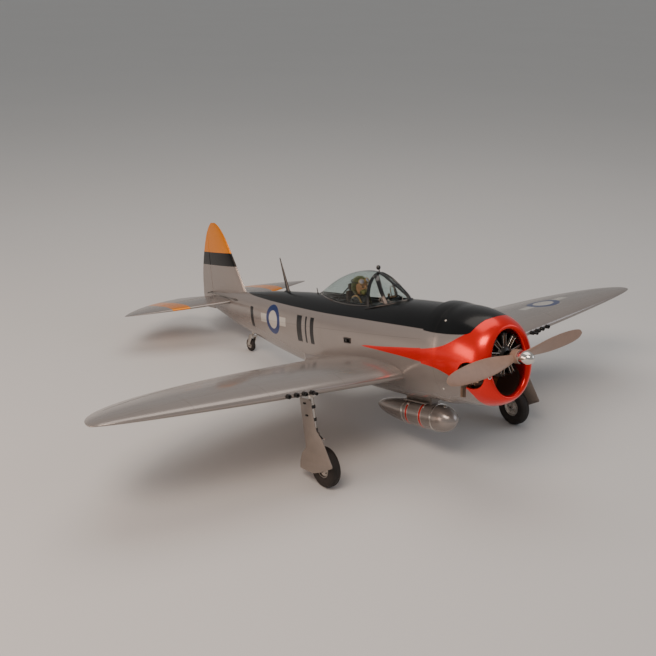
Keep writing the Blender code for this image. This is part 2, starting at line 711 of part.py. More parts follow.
def build_gear(side, word):
    """One main leg: strut, piston with axle, two torque links, wheel, tyre and door."""
    pivot = mirrored(side, PIVOT)
    axis = mirrored(side, GEAR_AXIS)
    x = pivot.x
    y = pivot.y

    strut = rod(f"strut_{word}", (x, y, PIVOT.z), (x, y, STRUT_END_Z), STRUT_R, "alloy", 16)
    trunnion = rod(f"trunnion_{word}", pivot - axis * 0.0115, pivot + axis * 0.0115, 0.0062,
                   None, 14)
    add(strut, trunnion)
    for index, z in enumerate((-0.086, -0.115)):
        outer = side * (DOOR_X - GAP)
        inner = side * (PIVOT.x - 0.0080)
        clamp = box(f"clamp_{word}_{index}", (min(inner, outer), y - 0.0095, z - 0.0035),
                    (max(inner, outer), y + 0.0090, z + 0.0035))
        add(strut, clamp)
    collar = rod(f"collar_{word}", (x, y, -0.1360), (x, y, -0.1490), 0.0062, None, 16)
    add(strut, collar)
    for offset in (-0.0040, 0.0040):
        cheek = box(f"upper_lug_{word}_{offset}", (x + offset - 0.0009, 0.2915, -0.1495),
                    (x + offset + 0.0009, y - 0.0030, -0.1445))
        add(strut, cheek)
    bore = rod(f"strut_bore_{word}", (x, y, -0.0980), (x, y, -0.1600), PISTON_R + 0.0004,
               None, 14)
    cut(strut, bore)
    set_origin(strut, pivot)

    piston = rod(f"piston_{word}", (x, y, -0.1120), (x, y, WHEEL.z + 0.006), PISTON_R,
                 "steel", 14)
    foot = rod(f"foot_{word}", (x, y, WHEEL.z + 0.012), (x, y, WHEEL.z - 0.007), 0.0044, None, 12)
    inner_end = WHEEL.x - 0.0125
    axle = rod(f"axle_{word}", (side * inner_end, y, WHEEL.z), (x, y, WHEEL.z), 0.0030, None, 12)
    nut = rod(f"axle_nut_{word}", (side * inner_end, y, WHEEL.z),
              (side * (inner_end + 0.0025), y, WHEEL.z), 0.0050, None, 6)
    add(piston, foot, axle, nut)
    block = rod(f"lower_lug_block_{word}", (x, y, -0.1615), (x, y, -0.1690), 0.0055, None, 12)
    add(piston, block)
    for offset in (-0.0040, 0.0040):
        cheek = box(f"lower_lug_{word}_{offset}", (x + offset - 0.0009, 0.2915, -0.1680),
                    (x + offset + 0.0009, y - 0.0025, -0.1625))
        add(piston, cheek)
    set_origin(piston, (x, y, STRUT_END_Z))

    for label, root in (("upper", LINK_TOP), ("lower", LINK_LOW)):
        start = mirrored(side, root)
        along = (LINK_KNEE - root).normalized()
        length = (LINK_KNEE - root).length - 0.0026
        half = 0.0027
        outline = [(-half, -0.0011), (half, -0.0011), (0.0016, length), (-0.0016, length)]
        frame = frame_at(start, (1.0, 0.0, 0.0), along)
        link = plate(f"{label}_link_{word}", outline, 0.0022, frame, "dark")
        barrel = rod(f"{label}_link_barrel_{word}", start - Vector((half, 0, 0)),
                     start + Vector((half, 0, 0)), 0.0017, None, 12)
        add(link, barrel)
        set_origin(link, start)

    build_wheel(f"{word}", mirrored(side, WHEEL), side)

    door = plate(f"gear_door_{word}", DOOR, DOOR_T,
                 Matrix.Translation((side * (DOOR_X + DOOR_T / 2), 0, 0)) @ DOOR_FRAME, "silver")
    set_origin(door, (side * (DOOR_X + DOOR_T / 2), y, -0.0680))


def ground_start(sides):
    """Turning start that puts one flat facet of a wheel against the ground."""
    return math.pi / sides


def build_wheel(word, centre, side):
    """A main wheel: a tyre with a flat tread and a dished hub."""
    tread = 0.0050
    profile = [(WHEEL_R, tread), (WHEEL_R, -tread), (WHEEL_R - 0.0035, -0.0105),
               (WHEEL_R - 0.0110, -WHEEL_HALF), (HUB_R, -0.0100), (HUB_R, 0.0100),
               (WHEEL_R - 0.0110, WHEEL_HALF), (WHEEL_R - 0.0035, 0.0105)]
    tyre = spin_part(f"tyre_{word}", profile, centre, WHEEL_SIDES, "rubber")
    rim = HUB_R - GAP
    hub_profile = [(rim, 0.0088), (rim, -0.0088), (rim - 0.0040, -0.0050), (0.0080, -0.0050),
                   (0.0075, -0.0095), (0.0034, -0.0095), (0.0034, 0.0095), (0.0075, 0.0095),
                   (0.0080, 0.0050), (rim - 0.0040, 0.0050)]
    hub = spin_part(f"hub_{word}", hub_profile, centre, WHEEL_SIDES, "alloy")
    return tyre, hub


def spin_part(name, profile, centre, sides, kind):
    """A closed profile turned round a line across the aircraft, with a facet facing the ground."""
    obj = turned(name, profile, centre, (1, 0, 0), sides, kind, ring=True)
    level = Matrix.Rotation(PITCH + ground_start(sides), 3, "X").to_quaternion()
    obj.rotation_quaternion = level @ obj.rotation_quaternion
    return obj


# ---------------------------------------------------------------- fuselage and its furniture
def build_fuselage():
    """The moulded body shell with wing-root fillets, open at the nose and the cockpit."""
    body = loft("fuselage", body_rings(0.150, 1.262, steps=18), "silver")
    stub_ends = (-ROOT_X + GAP, -0.045, 0.045, ROOT_X - GAP)
    stub = loft("wing_root", [wing_ring(abs(x), math.copysign(1, x)) for x in stub_ends])
    cavity = loft("body_cavity", body_rings(0.140, CAVITY_END, -SKIN, 12))
    add(body, stub)
    cut(body, cavity)
    opening = loft("cockpit_opening", [
        [Vector((0.0365 * math.cos(a), 0.4920 + 0.160 * math.sin(a), z)) for a in
         [2 * math.pi * k / 24 for k in range(24)]] for z in (0.045, 0.130)])
    cut(body, opening)
    cut(body, rod("tube_bore", (-0.10, TUBE_Y, TUBE_Z), (0.10, TUBE_Y, TUBE_Z), TUBE_R + GAP,
                  None, 20))
    cut(body, *stab_slots(), fin_loft("fin_slot", 0.0010, FIN_BASE_Z - GAP))
    post = TAIL_POST
    cut(body, rod("tail_post_bore", (0, post.y, -0.090), (0, post.y, -0.0220), 0.0046, None, 16))
    cut(body, rod("elevator_rod_bore", ELEVATOR_ROD[0], ELEVATOR_ROD[1], 0.0032, None, 12))
    cut(body, rod("rudder_rod_bore", RUDDER_ROD[0], RUDDER_ROD[1], 0.0032, None, 12))
    cut(body, box("switch_slot", (-0.100, 0.4560, -0.0045), (-0.060, 0.4780, 0.0045)))
    return body


def build_cowl():
    """The cowl: one loop of skin, with the exhaust opening in its right side."""
    rings = [oval(*station, power=2.08) for station in COWL]
    cowl = loft("cowl", rings, "red", loop=True)
    hole = rod("cowl_side_hole", (-0.130, 0.037, -0.032), (-0.050, 0.037, -0.032), 0.0300,
               None, 28)
    return cut(cowl, hole)


def inner_cowl(name, grow):
    """The room inside the cowl, used to trim what touches its inner wall."""
    stations = COWL[COWL_INNER_FIRST:]
    rings = [oval(*station, grow=grow, power=2.08) for station in stations]
    return loft(name, rings)


def build_firewall():
    """The firewall plate with four engine standoffs and four cowl blocks."""
    ring = oval(FUSELAGE[0][0] - GAP, *FUSELAGE[0][1:])
    back = [point - Vector((0, 0.005, 0)) for point in ring]
    firewall = loft("firewall", [ring, back], "ply")
    for index, (x, z) in enumerate(((-0.022, 0.022), (0.022, 0.022), (-0.022, -0.022),
                                    (0.022, -0.022))):
        post = rod(f"standoff_{index}", (x, 0.1178, z), (x, 0.1470, z), 0.0048, None, 12)
        add(firewall, post)
    trim = inner_cowl("cowl_room", -0.0008)
    for index, (x, z) in enumerate(((-0.060, 0.068), (0.060, 0.068), (-0.064, -0.086),
                                    (0.064, -0.086))):
        block = box(f"cowl_block_{index}", (x - 0.008, 0.1120, z - 0.009),
                    (x + 0.008, 0.1470, z + 0.009))
        keep(block, trim)
        add(firewall, block)
    return firewall


def build_engine():
    """A single-cylinder engine lying on its side behind the dummy radial."""
    engine = turned("engine", [(0.0, 0.1175), (0.030, 0.1175), (0.030, 0.1080), (0.0255, 0.1060),
                               (0.0255, 0.0560), (0.0150, 0.0440), (0.0110, 0.0360),
                               (0.0110, 0.0320), (0.0060, 0.0320), (0.0060, 0.0520),
                               (0.0, 0.0520)], (0, 0, 0), (0, 1, 0), 20, "dark")
    side = Vector((-math.cos(math.radians(20)), 0.0, -math.sin(math.radians(20))))
    seat = Vector((0.0, 0.0620, 0.0))
    add(engine, rod("barrel", seat + side * 0.015, seat + side * 0.066, 0.0150, None, 14))
    for index in range(5):
        start = 0.031 + index * 0.0078
        add(engine, rod(f"fin_{index}", seat + side * start, seat + side * (start + 0.0025),
                        0.0205, None, 14))
    return engine


def build_muffler():
    """The exhaust elbow that leaves through the cowl's side opening."""
    route = [(-0.0480, 0.0560, -0.0470), (-0.0640, 0.0510, -0.0462), (-0.0800, 0.0450, -0.0465),
             (-0.0920, 0.0430, -0.0490), (-0.0980, 0.0430, -0.0560), (-0.0995, 0.0435, -0.0740)]
    pipe = wire("muffler", route, 0.0062, "dark", 1)
    outlet = rod("outlet_bore", (-0.0990, 0.0433, -0.0680), (-0.0997, 0.0436, -0.0780), 0.0045,
                 None, 12)
    clamp = rod("muffler_clamp", (-0.0700, 0.0488, -0.0463), (-0.0770, 0.0461, -0.0465), 0.0080,
                None, 16)
    can = ball("muffler_can", (-0.0450, 0.0570, -0.0600), (0.0150, 0.0130, 0.0150), None, 12, 8)
    add(pipe, can, clamp)
    return cut(pipe, outlet)


def build_dummy_engine():
    """A nine-cylinder radial front, with a bore for the crankshaft."""
    radial = turned("dummy_engine", [(0.0500, 0.0285), (0.0500, 0.0240), (0.0230, 0.0240),
                                     (0.0200, 0.0140), (0.0140, 0.0080), (0.0080, 0.0060),
                                     (0.0080, 0.0285)], (0, 0, 0), (0, 1, 0), 27, "dark",
                    ring=True)
    for index in range(9):
        angle = math.radians(90 + 40 * index)
        out = Vector((math.cos(angle), 0.0, math.sin(angle)))
        foot = Vector((0.0, 0.0185, 0.0)) + out * 0.0185
        shoulder = Vector((0.0, 0.0185, 0.0)) + out * 0.0405
        top = Vector((0.0, 0.0185, 0.0)) + out * 0.0475
        add(radial, rod(f"cylinder_{index}", foot, shoulder, 0.0072, None, 10))
        add(radial, rod(f"cylinder_head_{index}", shoulder - out * 0.0010, top, 0.0082, None, 10,
                        0.0062))
    return radial


def blade_ring(radius, chord, angle, thick, lift, count=10):
    """One propeller blade section, twisted to its pitch."""
    ring = []
    for k in range(count):
        turn = 2 * math.pi * k / count
        across = 0.5 * chord * math.cos(turn)
        depth = 0.5 * thick * math.sin(turn)
        rise = across * math.cos(angle) + depth * math.sin(angle)
        ahead = -across * math.sin(angle) + depth * math.cos(angle)
        ring.append(Vector((radius, ahead, rise + lift)))
    return ring


def build_propeller():
    """A two-blade propeller with its hub and bore."""
    hub = rod("propeller", (0, PROP_Y + HUB_HALF, 0), (0, PROP_Y - HUB_HALF, 0), 0.0150, "taupe",
              28)
    for index, turn in enumerate((0.0, math.pi)):
        rings = [blade_ring(r, chord, math.radians(angle), thick, 0.0)
                 for r, chord, angle, thick in BLADE]
        blade = loft(f"blade_{index}", rings)
        blade.data.transform(Matrix.Rotation(turn - PROP_TILT, 4, "Y"))
        blade.data.transform(Matrix.Translation((0, PROP_Y, 0)))
        add(hub, blade)
    cut(hub, rod("propeller_bore", (0, PROP_Y - 0.02, 0), (0, PROP_Y + 0.02, 0), 0.0043, None, 20))
    return set_origin(hub, (0, PROP_Y, 0))


def build_nose():
    """Crankshaft with its drive flange, and the bullet-shaped propeller nut."""
    shaft = turned("crankshaft", [(0.0, 0.0500), (0.0040, 0.0500), (0.0040, PROP_Y + 0.0150),
                                  (0.0125, PROP_Y + 0.0150),
                                  (0.0125, PROP_Y + HUB_HALF + GAP),
                                  (0.0040, PROP_Y + HUB_HALF + GAP),
                                  (0.0040, PROP_Y - 0.0190), (0.0, PROP_Y - 0.0190)],
                   (0, 0, 0), (0, 1, 0), 24, "steel")
    face = PROP_Y - HUB_HALF - GAP
    profile = [(0.0, face - 0.0115), (0.0043, face - 0.0115), (0.0043, face), (0.0148, face),
               (0.0148, face - 0.0120)]
    for k in range(1, 7):
        angle = math.pi / 2 * k / 6
        profile.append((0.0148 * math.cos(angle) if k < 6 else 0.0,
                        face - 0.0120 - 0.0230 * math.sin(angle)))
    nut = turned("spinner_nut", profile, (0, 0, 0), (0, 1, 0), 28, "alloy")
    return shaft, nut


def build_interior():
    """Tray, tank, battery, receiver, servos, wing tube and tail pushrods inside the shell."""
    room = loft("tray_trim", body_rings(0.20, 0.72, -SKIN - GAP, 12))
    tray = box("equipment_tray", (-0.090, 0.205, -0.0420), (0.090, 0.700, -0.0390), "ply")
    keep(tray, room)
    top = -0.0390 + GAP
    tank = box("fuel_tank", (-0.030, 0.215, top), (0.030, 0.320, top + 0.050), "tank")
    bevel = tank.modifiers.new("soft", "BEVEL")
    bevel.width = 0.008
    bevel.segments = 2
    box("battery", (-0.022, 0.340, top), (0.022, 0.440, top + 0.026), "pack")
    box("receiver", (-0.014, 0.470, top), (0.014, 0.515, top + 0.015), "plastic")
    for word, side in (("elevator", 1), ("rudder", -1)):
        servo = box(f"{word}_servo", (min(side * 0.010, side * 0.030), 0.570, top),
                    (max(side * 0.010, side * 0.030), 0.610, top + 0.036), "plastic")
        x = side * 0.020
        add(servo, rod(f"{word}_arm", (x, 0.598, top + 0.0355), (x, 0.598, top + 0.0390), 0.0080,
                       None, 16))
    rod("wing_joiner_tube", (-TUBE_HALF, TUBE_Y, TUBE_Z), (TUBE_HALF, TUBE_Y, TUBE_Z), TUBE_R,
        "alloy", 20)
    for word, line in (("elevator", ELEVATOR_ROD), ("rudder", RUDDER_ROD)):
        made = rod(f"{word}_pushrod", *line, 0.0012, "steel", 10)
        set_origin(made, line[1])


def canopy_ring(y, half, height, foot, count=13):
    """An arch across the cockpit, closed by a straight foot line inside the body."""
    ring = []
    for k in range(count):
        angle = math.pi * k / (count - 1)
        across = math.copysign(abs(math.cos(angle)) ** 0.85, math.cos(angle))
        ring.append(Vector((half * across, y, foot + (height - foot) * math.sin(angle) ** 0.9)))
    return ring


def glass_shell(name, stations, wall, open_end):
    """A thin arched shell standing on the fuselage, open underneath and at one end."""
    outer = loft(name, [canopy_ring(*station) for station in stations], "glass")
    beyond = 0.010
    inner = []
    for y, half, height, foot in (stations[1:] if open_end == "rear" else stations[:-1]):
        inner.append([y, half - wall, height - wall, foot - 0.030])
    if open_end == "rear":
        inner[-1][0] += beyond
    else:
        inner[0][0] -= beyond
    cut(outer, loft(f"{name}_room", [canopy_ring(*station) for station in inner]))
    cut(outer, loft(f"{name}_seat", body_rings(0.29, 0.72, GAP, 16)))
    return outer


def build_cockpit():
    """Windscreen with its mirror, bubble canopy, tub with seat and panel, and the pilot."""
    screen = glass_shell("windscreen", SCREEN_GLASS, 0.0014, "rear")
    stalk = rod("mirror_stalk", (0, 0.4190, 0.1515), (0, 0.4250, 0.1640), 0.0013, None, 10)
    mirror = ball("mirror_ball", (0, 0.4252, 0.1672), (0.0058, 0.0058, 0.0058), None, 14, 8)
    add(screen, stalk, mirror)
    glass_shell("canopy", BUBBLE_GLASS, 0.0012, "front")

    tub = loft("cockpit_tub", [
        [Vector((0.0361 * math.cos(a), 0.4920 + 0.1596 * math.sin(a), z)) for a in
         [2 * math.pi * k / 24 for k in range(24)]] for z in (0.0480, 0.0800)], "plastic")
    pocket = box("tub_pocket", (-0.0290, 0.3900, 0.0520), (0.0290, 0.5700, 0.1000))
    back_pocket = box("tub_back", (-0.0180, 0.5600, 0.0520), (0.0180, 0.6300, 0.1000))
    front_pocket = box("tub_front", (-0.0200, 0.3600, 0.0520), (0.0200, 0.4000, 0.1000))
    cut(tub, pocket, back_pocket, front_pocket)
    seat = box("seat_back", (-0.0200, 0.5360, 0.0500), (0.0200, 0.5440, 0.1060))
    panel = box("instrument_panel", (-0.0200, 0.3780, 0.0510), (0.0200, 0.3820, 0.0950))
    add(tub, seat, panel)
    cut(tub, box("tub_under", (-0.1, 0.2, 0.0), (0.1, 0.8, 0.0481)))

    floor = 0.0520 + GAP
    pilot = loft("pilot", [
        [Vector((half * math.cos(a), 0.5100 + deep * math.sin(a), z)) for a in
         [2 * math.pi * k / 16 for k in range(16)]]
        for z, half, deep in ((floor, 0.0200, 0.0190), (0.0700, 0.0240, 0.0200),
                              (0.0840, 0.0235, 0.0170), (0.0900, 0.0150, 0.0130),
                              (0.0950, 0.0110, 0.0110), (0.1040, 0.0110, 0.0110))], "olive")
    head = ball("pilot_head", (0, 0.5030, 0.1170), (0.0185, 0.0215, 0.0245), None, 14, 8)
    return add(pilot, head)


def build_mast():
    """The antenna mast: a slim tapering blade standing on the spine."""
    foot = Vector((0, 0.8400, 0.0700))
    top = Vector((0, 0.8670, 0.1740))
    stations = ((0.0, 0.0040, 0.0100), (0.35, 0.0028, 0.0068), (1.0, 0.0011, 0.0022))
    rings = []
    for share, half, deep in stations:
        middle = foot.lerp(top, share)
        rings.append([middle + Vector((half * math.cos(a), deep * math.sin(a), 0)) for a in
                      [2 * math.pi * k / 12 for k in range(12)]])
    mast = loft("antenna_mast", rings, "black")
    return cut(mast, loft("mast_seat", body_rings(0.78, 0.92, GAP, 6)))


def build_store():
    """The drop tank and the pylon plate that hangs it under the belly."""
    start, length = DRUM_Y, DRUM_LENGTH
    profile = [(radius, start + length * share) for share, radius in reversed(DRUM)]
    turned("drop_tank", profile, (0, 0, DRUM_Z), (0, 1, 0), 28, "silver")
    pylon = box("tank_pylon", (-0.0100, 0.2580, -0.1560), (0.0100, 0.3500, -0.1200), "silver")
    wing_plate = box("pylon_plate", (-0.0240, 0.2640, -0.1440), (0.0240, 0.3440, -0.1410))
    add(pylon, wing_plate)
    drum_seat = rod("drum_seat", (0, 0.20, DRUM_Z), (0, 0.40, DRUM_Z), DRUM_R + GAP, None, 56)
    return cut(pylon, loft("pylon_seat", body_rings(0.22, 0.42, GAP, 8)), drum_seat)


# ---------------------------------------------------------------- tail
def stab_ring(x, side, grow=0.0, points=8):
    """A symmetrical section of the horizontal tail."""
    nearest = STAB[0][0]
    lead, trail = spline(STAB, max(x, nearest))
    chord = trail - lead
    ring = []
    for u, _, half, face in naca_ring(STAB_THICKNESS, 0.0, points):
        edge = face * (EDGE_HALF * u + grow)
        y = lead - grow + (chord + 2 * grow) * u
        ring.append(Vector((side * x, y, STAB_Z + half * chord + edge)))
    return ring


def stab_loft(name, side, kind=None, grow=0.0, first=0.0006):
    """The whole uncut tailplane half."""
    stations = [first, 0.03, 0.06, 0.10, 0.14, 0.18, 0.22, 0.25, 0.275, 0.295, 0.307, 0.3140]
    return loft(name, [stab_ring(x, side, grow) for x in stations], kind)


def stab_slots():
    """Room in the tail for the roots of both tailplane halves."""
    slots = []
    for side, word in ((1, "left"), (-1, "right")):
        stations = [0.0, 0.03, 0.06]
        slots.append(loft(f"stab_slot_{word}", [stab_ring(x, side, 0.0005) for x in stations]))
    return slots


def build_tailplane(side, word):
    """A stabiliser half and its elevator, with a horn under the left one."""
    stab = stab_loft(f"stabiliser_{word}", side, "silver")
    start = Vector((0.0, TAIL_HINGE_Y, STAB_Z))
    end = Vector((ELEVATOR_X[1], TAIL_HINGE_Y, STAB_Z))
    bay = hinge_prism(f"elevator_bay_{word}", start - Vector((0.01, 0, 0)),
                      end + Vector((HINGE_GAP, 0, 0)), 0.0, 0.0, side, 0.0, -HINGE_GAP)
    cut(stab, bay)
    elevator = stab_loft(f"elevator_{word}", side, "silver")
    keep(elevator, hinge_prism(f"elevator_prism_{word}", start, end, ELEVATOR_BEVEL,
                               ELEVATOR_BEVEL, side, 0.0))
    inner = ELEVATOR_X[0]
    far = 0.20
    wedge = [(-0.02, TAIL_HINGE_Y - 0.02), (inner, TAIL_HINGE_Y - 0.02), (inner, TAIL_HINGE_Y),
             (inner + ELEVATOR_RAKE * far, TAIL_HINGE_Y + far), (-0.02, TAIL_HINGE_Y + far)]
    rings = [[mirrored(side, (x, y, z)) for x, y in wedge] for z in (0.0, 0.08)]
    cut(elevator, loft(f"elevator_cutout_{word}", rings))
    if side > 0:
        outline = [(0.010, -0.0015), (0.022, -0.0015), (0.003, -0.0245), (-0.004, -0.0240)]
        frame = frame_at((0.0238, TAIL_HINGE_Y, STAB_Z), (0, 1, 0), UP)
        add(elevator, plate("elevator_horn", outline, 0.0016, frame))
    set_origin(elevator, mirrored(side, (inner, TAIL_HINGE_Y, STAB_Z)))
    return stab


def fin_ring(z, grow=0.0, points=8):
    """A symmetrical section of the fin and rudder together."""
    lead, trail = spline(FIN, z)
    chord = trail - lead
    ring = []
    for u, _, half, face in naca_ring(FIN_THICKNESS, 0.0, points):
        edge = face * (EDGE_HALF * u + grow)
        ring.append(Vector((half * chord * 0.92 + edge, lead - grow + (chord + 2 * grow) * u, z)))
    return ring


def fin_loft(name, grow, bottom, kind=None):
    """The whole uncut fin and rudder from a given height up."""
    stations = [bottom, 0.066, 0.095, 0.125, 0.155, 0.185, 0.212, 0.234, 0.250, 0.260, 0.2665]
    if bottom < 0.03:
        stations[1:1] = [0.030]
    return loft(name, [fin_ring(z, grow) for z in stations], kind)


def build_fin():
    """The fin, the rudder behind it and the rudder's horn."""
    fin = fin_loft("fin", 0.0, FIN_BASE_Z, "silver")
    start = Vector((0.0, TAIL_HINGE_Y, 0.002))
    end = Vector((0.0, TAIL_HINGE_Y, 0.280))
    reach = 0.150
    wide = 0.030
    bevel = wide * math.tan(math.radians(32.0))
    front = TAIL_HINGE_Y - HINGE_GAP
    bay = box("rudder_bay", (-wide, front, -0.02), (wide, front + reach, RUDDER_TOP_Z + 0.0012))
    cut(fin, bay)
    rudder = fin_loft("rudder", 0.0, 0.002, "silver")
    outline = [(0.0, TAIL_HINGE_Y), (wide, TAIL_HINGE_Y + bevel), (wide, TAIL_HINGE_Y + reach),
               (-wide, TAIL_HINGE_Y + reach), (-wide, TAIL_HINGE_Y + bevel)]
    rings = [[Vector((x, y, z)) for x, y in outline] for z in (start.z - 0.01, RUDDER_TOP_Z)]
    keep(rudder, loft("rudder_prism", rings))
    horn = [(-0.003, TAIL_HINGE_Y + 0.0170), (-0.003, TAIL_HINGE_Y + 0.0060),
            (-0.0220, TAIL_HINGE_Y - 0.0040), (-0.0260, TAIL_HINGE_Y + 0.0030)]
    frame = frame_at((0, 0, 0.0536), (1, 0, 0), (0, 1, 0))
    add(rudder, plate("rudder_horn", horn, 0.0016, frame))
    set_origin(rudder, (0, TAIL_HINGE_Y, 0.10))


def build_tail_gear():
    """The steering leg with its fork and axle, and the tail wheel."""
    post = TAIL_POST
    wheel = TAIL_WHEEL
    leg = rod("tail_leg", (0, post.y, -0.0250), (0, post.y, -0.0600), 0.0040, "alloy", 14)
    yoke = box("fork_yoke", (-0.0098, 1.0540, -0.0665), (0.0098, 1.0700, -0.0590))
    add(leg, yoke)
    for side in (1, -1):
        x = side * 0.0085
        outline = [(1.0545, -0.0600), (1.0700, -0.0600), (1.0900, -0.0935), (1.0860, -0.0980),
                   (1.0800, -0.0980), (1.0770, -0.0945)]
        cheek = plate(f"fork_cheek_{side}", outline, 0.0022,
                      Matrix.Translation((x, 0, 0)) @ DOOR_FRAME)
        add(leg, cheek)
    add(leg, rod("fork_axle", (-0.0110, wheel.y, wheel.z), (0.0110, wheel.y, wheel.z), 0.0020,
                 None, 12))
    set_origin(leg, (0, post.y, post.z))
    profile = [(TAIL_R, 0.0025), (TAIL_R, -0.0025), (TAIL_R - 0.0060, -TAIL_HALF),
               (0.0060, -0.0048), (0.0023, -0.0065), (0.0023, 0.0065), (0.0060, 0.0048),
               (TAIL_R - 0.0060, TAIL_HALF)]
    return spin_part("tail_wheel", profile, wheel, TAIL_SIDES, "rubber")


def build_switch():
    """The sliding power switch in the fuselage's right side."""
    lever = box("power_switch", (-0.0880, 0.4635, -0.0030), (-0.0740, 0.4705, 0.0030), "plastic")
    return set_origin(lever, (-0.0840, 0.4670, 0.0))


def main():
    """Build every piece."""
    build_fuselage()
    build_cowl()
    build_firewall()
    build_engine()
    build_muffler()
    build_dummy_engine()
    build_propeller()
    build_nose()
    build_interior()
    build_cockpit()
    build_mast()
    build_store()
    for side, word in ((1, "left"), (-1, "right")):
        build_wing(side, word)
        build_gear(side, word)
        build_tailplane(side, word)
    build_fin()
    build_tail_gear()
    build_switch()
    bpy.context.view_layer.update()


main()
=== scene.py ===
"""Radio-controlled warbird: the finished look of every piece, laid over its fixed frame.

Each piece is drawn level in the aircraft's own frame, +X to its left wing, +Y to the tail and +Z
up, with y = 0 at the cowl lip and z = 0 on the propeller's shaft, and is then pitched onto its
wheels.  Lengths are metres.
"""
import json
import math

import bmesh
import bpy
from bpy.props import FloatProperty, FloatVectorProperty, PointerProperty
from mathutils import Matrix, Vector

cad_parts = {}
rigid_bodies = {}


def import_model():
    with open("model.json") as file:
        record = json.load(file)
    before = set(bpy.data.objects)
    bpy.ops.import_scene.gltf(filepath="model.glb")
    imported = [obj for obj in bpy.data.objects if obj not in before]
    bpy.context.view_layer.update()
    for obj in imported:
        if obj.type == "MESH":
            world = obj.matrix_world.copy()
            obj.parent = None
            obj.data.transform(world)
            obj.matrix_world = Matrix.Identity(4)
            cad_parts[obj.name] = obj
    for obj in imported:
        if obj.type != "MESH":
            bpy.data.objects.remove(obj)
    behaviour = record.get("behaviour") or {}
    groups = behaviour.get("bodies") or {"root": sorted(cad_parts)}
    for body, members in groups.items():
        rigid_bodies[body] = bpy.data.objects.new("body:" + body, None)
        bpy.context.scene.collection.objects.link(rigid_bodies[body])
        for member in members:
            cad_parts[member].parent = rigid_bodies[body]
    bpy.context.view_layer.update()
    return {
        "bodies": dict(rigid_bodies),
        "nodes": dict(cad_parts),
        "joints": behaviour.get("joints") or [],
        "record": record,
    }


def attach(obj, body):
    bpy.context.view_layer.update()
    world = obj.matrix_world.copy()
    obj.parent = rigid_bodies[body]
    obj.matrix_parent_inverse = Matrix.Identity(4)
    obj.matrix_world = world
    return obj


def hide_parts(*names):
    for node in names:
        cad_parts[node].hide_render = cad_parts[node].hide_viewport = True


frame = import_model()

bl_info = {
    "name": "Warbird model",
    "version": (1, 0, 0),
    "blender": (4, 5, 0),
    "location": "3D View > Sidebar > Warbird",
    "description": "Builds the skins, fittings and finishes of a radio-controlled warbird",
    "category": "Object",
}


# ---------------------------------------------------------------- sizes shared by the pieces
GAP = 0.0003                    # clearance between pieces that touch
SKIN = 0.003                    # wall of the fuselage shell
HALF_SPAN = 0.800
PITCH = math.radians(11.842)    # nose-up attitude on the ground
SHAFT_HEIGHT = 0.3333           # propeller shaft's origin above the ground
SHIFT_Y = -0.6433               # puts the middle of the overall length at y = 0

# Fuselage stations: y, half width, top z, bottom z, z of the widest point
FUSELAGE = (
    (0.150, 0.0880, 0.0935, -0.1205, -0.010),
    (0.178, 0.0885, 0.0950, -0.1235, -0.010),
    (0.240, 0.0888, 0.0962, -0.1300, -0.011),
    (0.310, 0.0885, 0.0962, -0.1335, -0.012),
    (0.450, 0.0840, 0.0925, -0.1300, -0.012),
    (0.600, 0.0760, 0.0886, -0.1200, -0.010),
    (0.750, 0.0640, 0.0848, -0.1050, -0.005),
    (0.900, 0.0500, 0.0785, -0.0820, 0.003),
    (1.030, 0.0360, 0.0690, -0.0560, 0.012),
    (1.135, 0.0240, 0.0625, -0.0330, 0.020),
    (1.200, 0.0170, 0.0605, -0.0160, 0.025),
    (1.262, 0.0100, 0.0590, 0.0010, 0.029),
)
CAVITY_END = 1.030
# Cowl skin as one loop of stations, outside from rear to lip, then inside from lip to rear
COWL = (
    (0.178, 0.0962, 0.1035, -0.1280, -0.010),
    (0.158, 0.0960, 0.1030, -0.1275, -0.010),
    (0.140, 0.0950, 0.1010, -0.1250, -0.010),
    (0.126, 0.0940, 0.0992, -0.1225, -0.011),
    (0.100, 0.0935, 0.0978, -0.1205, -0.012),
    (0.072, 0.0920, 0.0940, -0.1190, -0.013),
    (0.048, 0.0890, 0.0883, -0.1165, -0.014),
    (0.029, 0.0842, 0.0820, -0.1125, -0.015),
    (0.015, 0.0778, 0.0755, -0.1070, -0.016),
    (0.006, 0.0705, 0.0690, -0.1015, -0.017),
    (0.0012, 0.0635, 0.0640, -0.0965, -0.017),
    (0.000, 0.0575, 0.0600, -0.0928, -0.017),
    (0.002, 0.0520, 0.0565, -0.0900, -0.017),
    (0.007, 0.0495, 0.0548, -0.0885, -0.017),
    (0.013, 0.0520, 0.0570, -0.0900, -0.017),
    (0.020, 0.0640, 0.0660, -0.0980, -0.016),
    (0.032, 0.0780, 0.0768, -0.1070, -0.015),
    (0.052, 0.0862, 0.0855, -0.1135, -0.014),
    (0.076, 0.0893, 0.0914, -0.1163, -0.013),
    (0.104, 0.0908, 0.0952, -0.1180, -0.012),
    (0.130, 0.0915, 0.0970, -0.1200, -0.011),
    (0.150, 0.0930, 0.0995, -0.1240, -0.010),
    (0.178, 0.0940, 0.1012, -0.1258, -0.010),
)

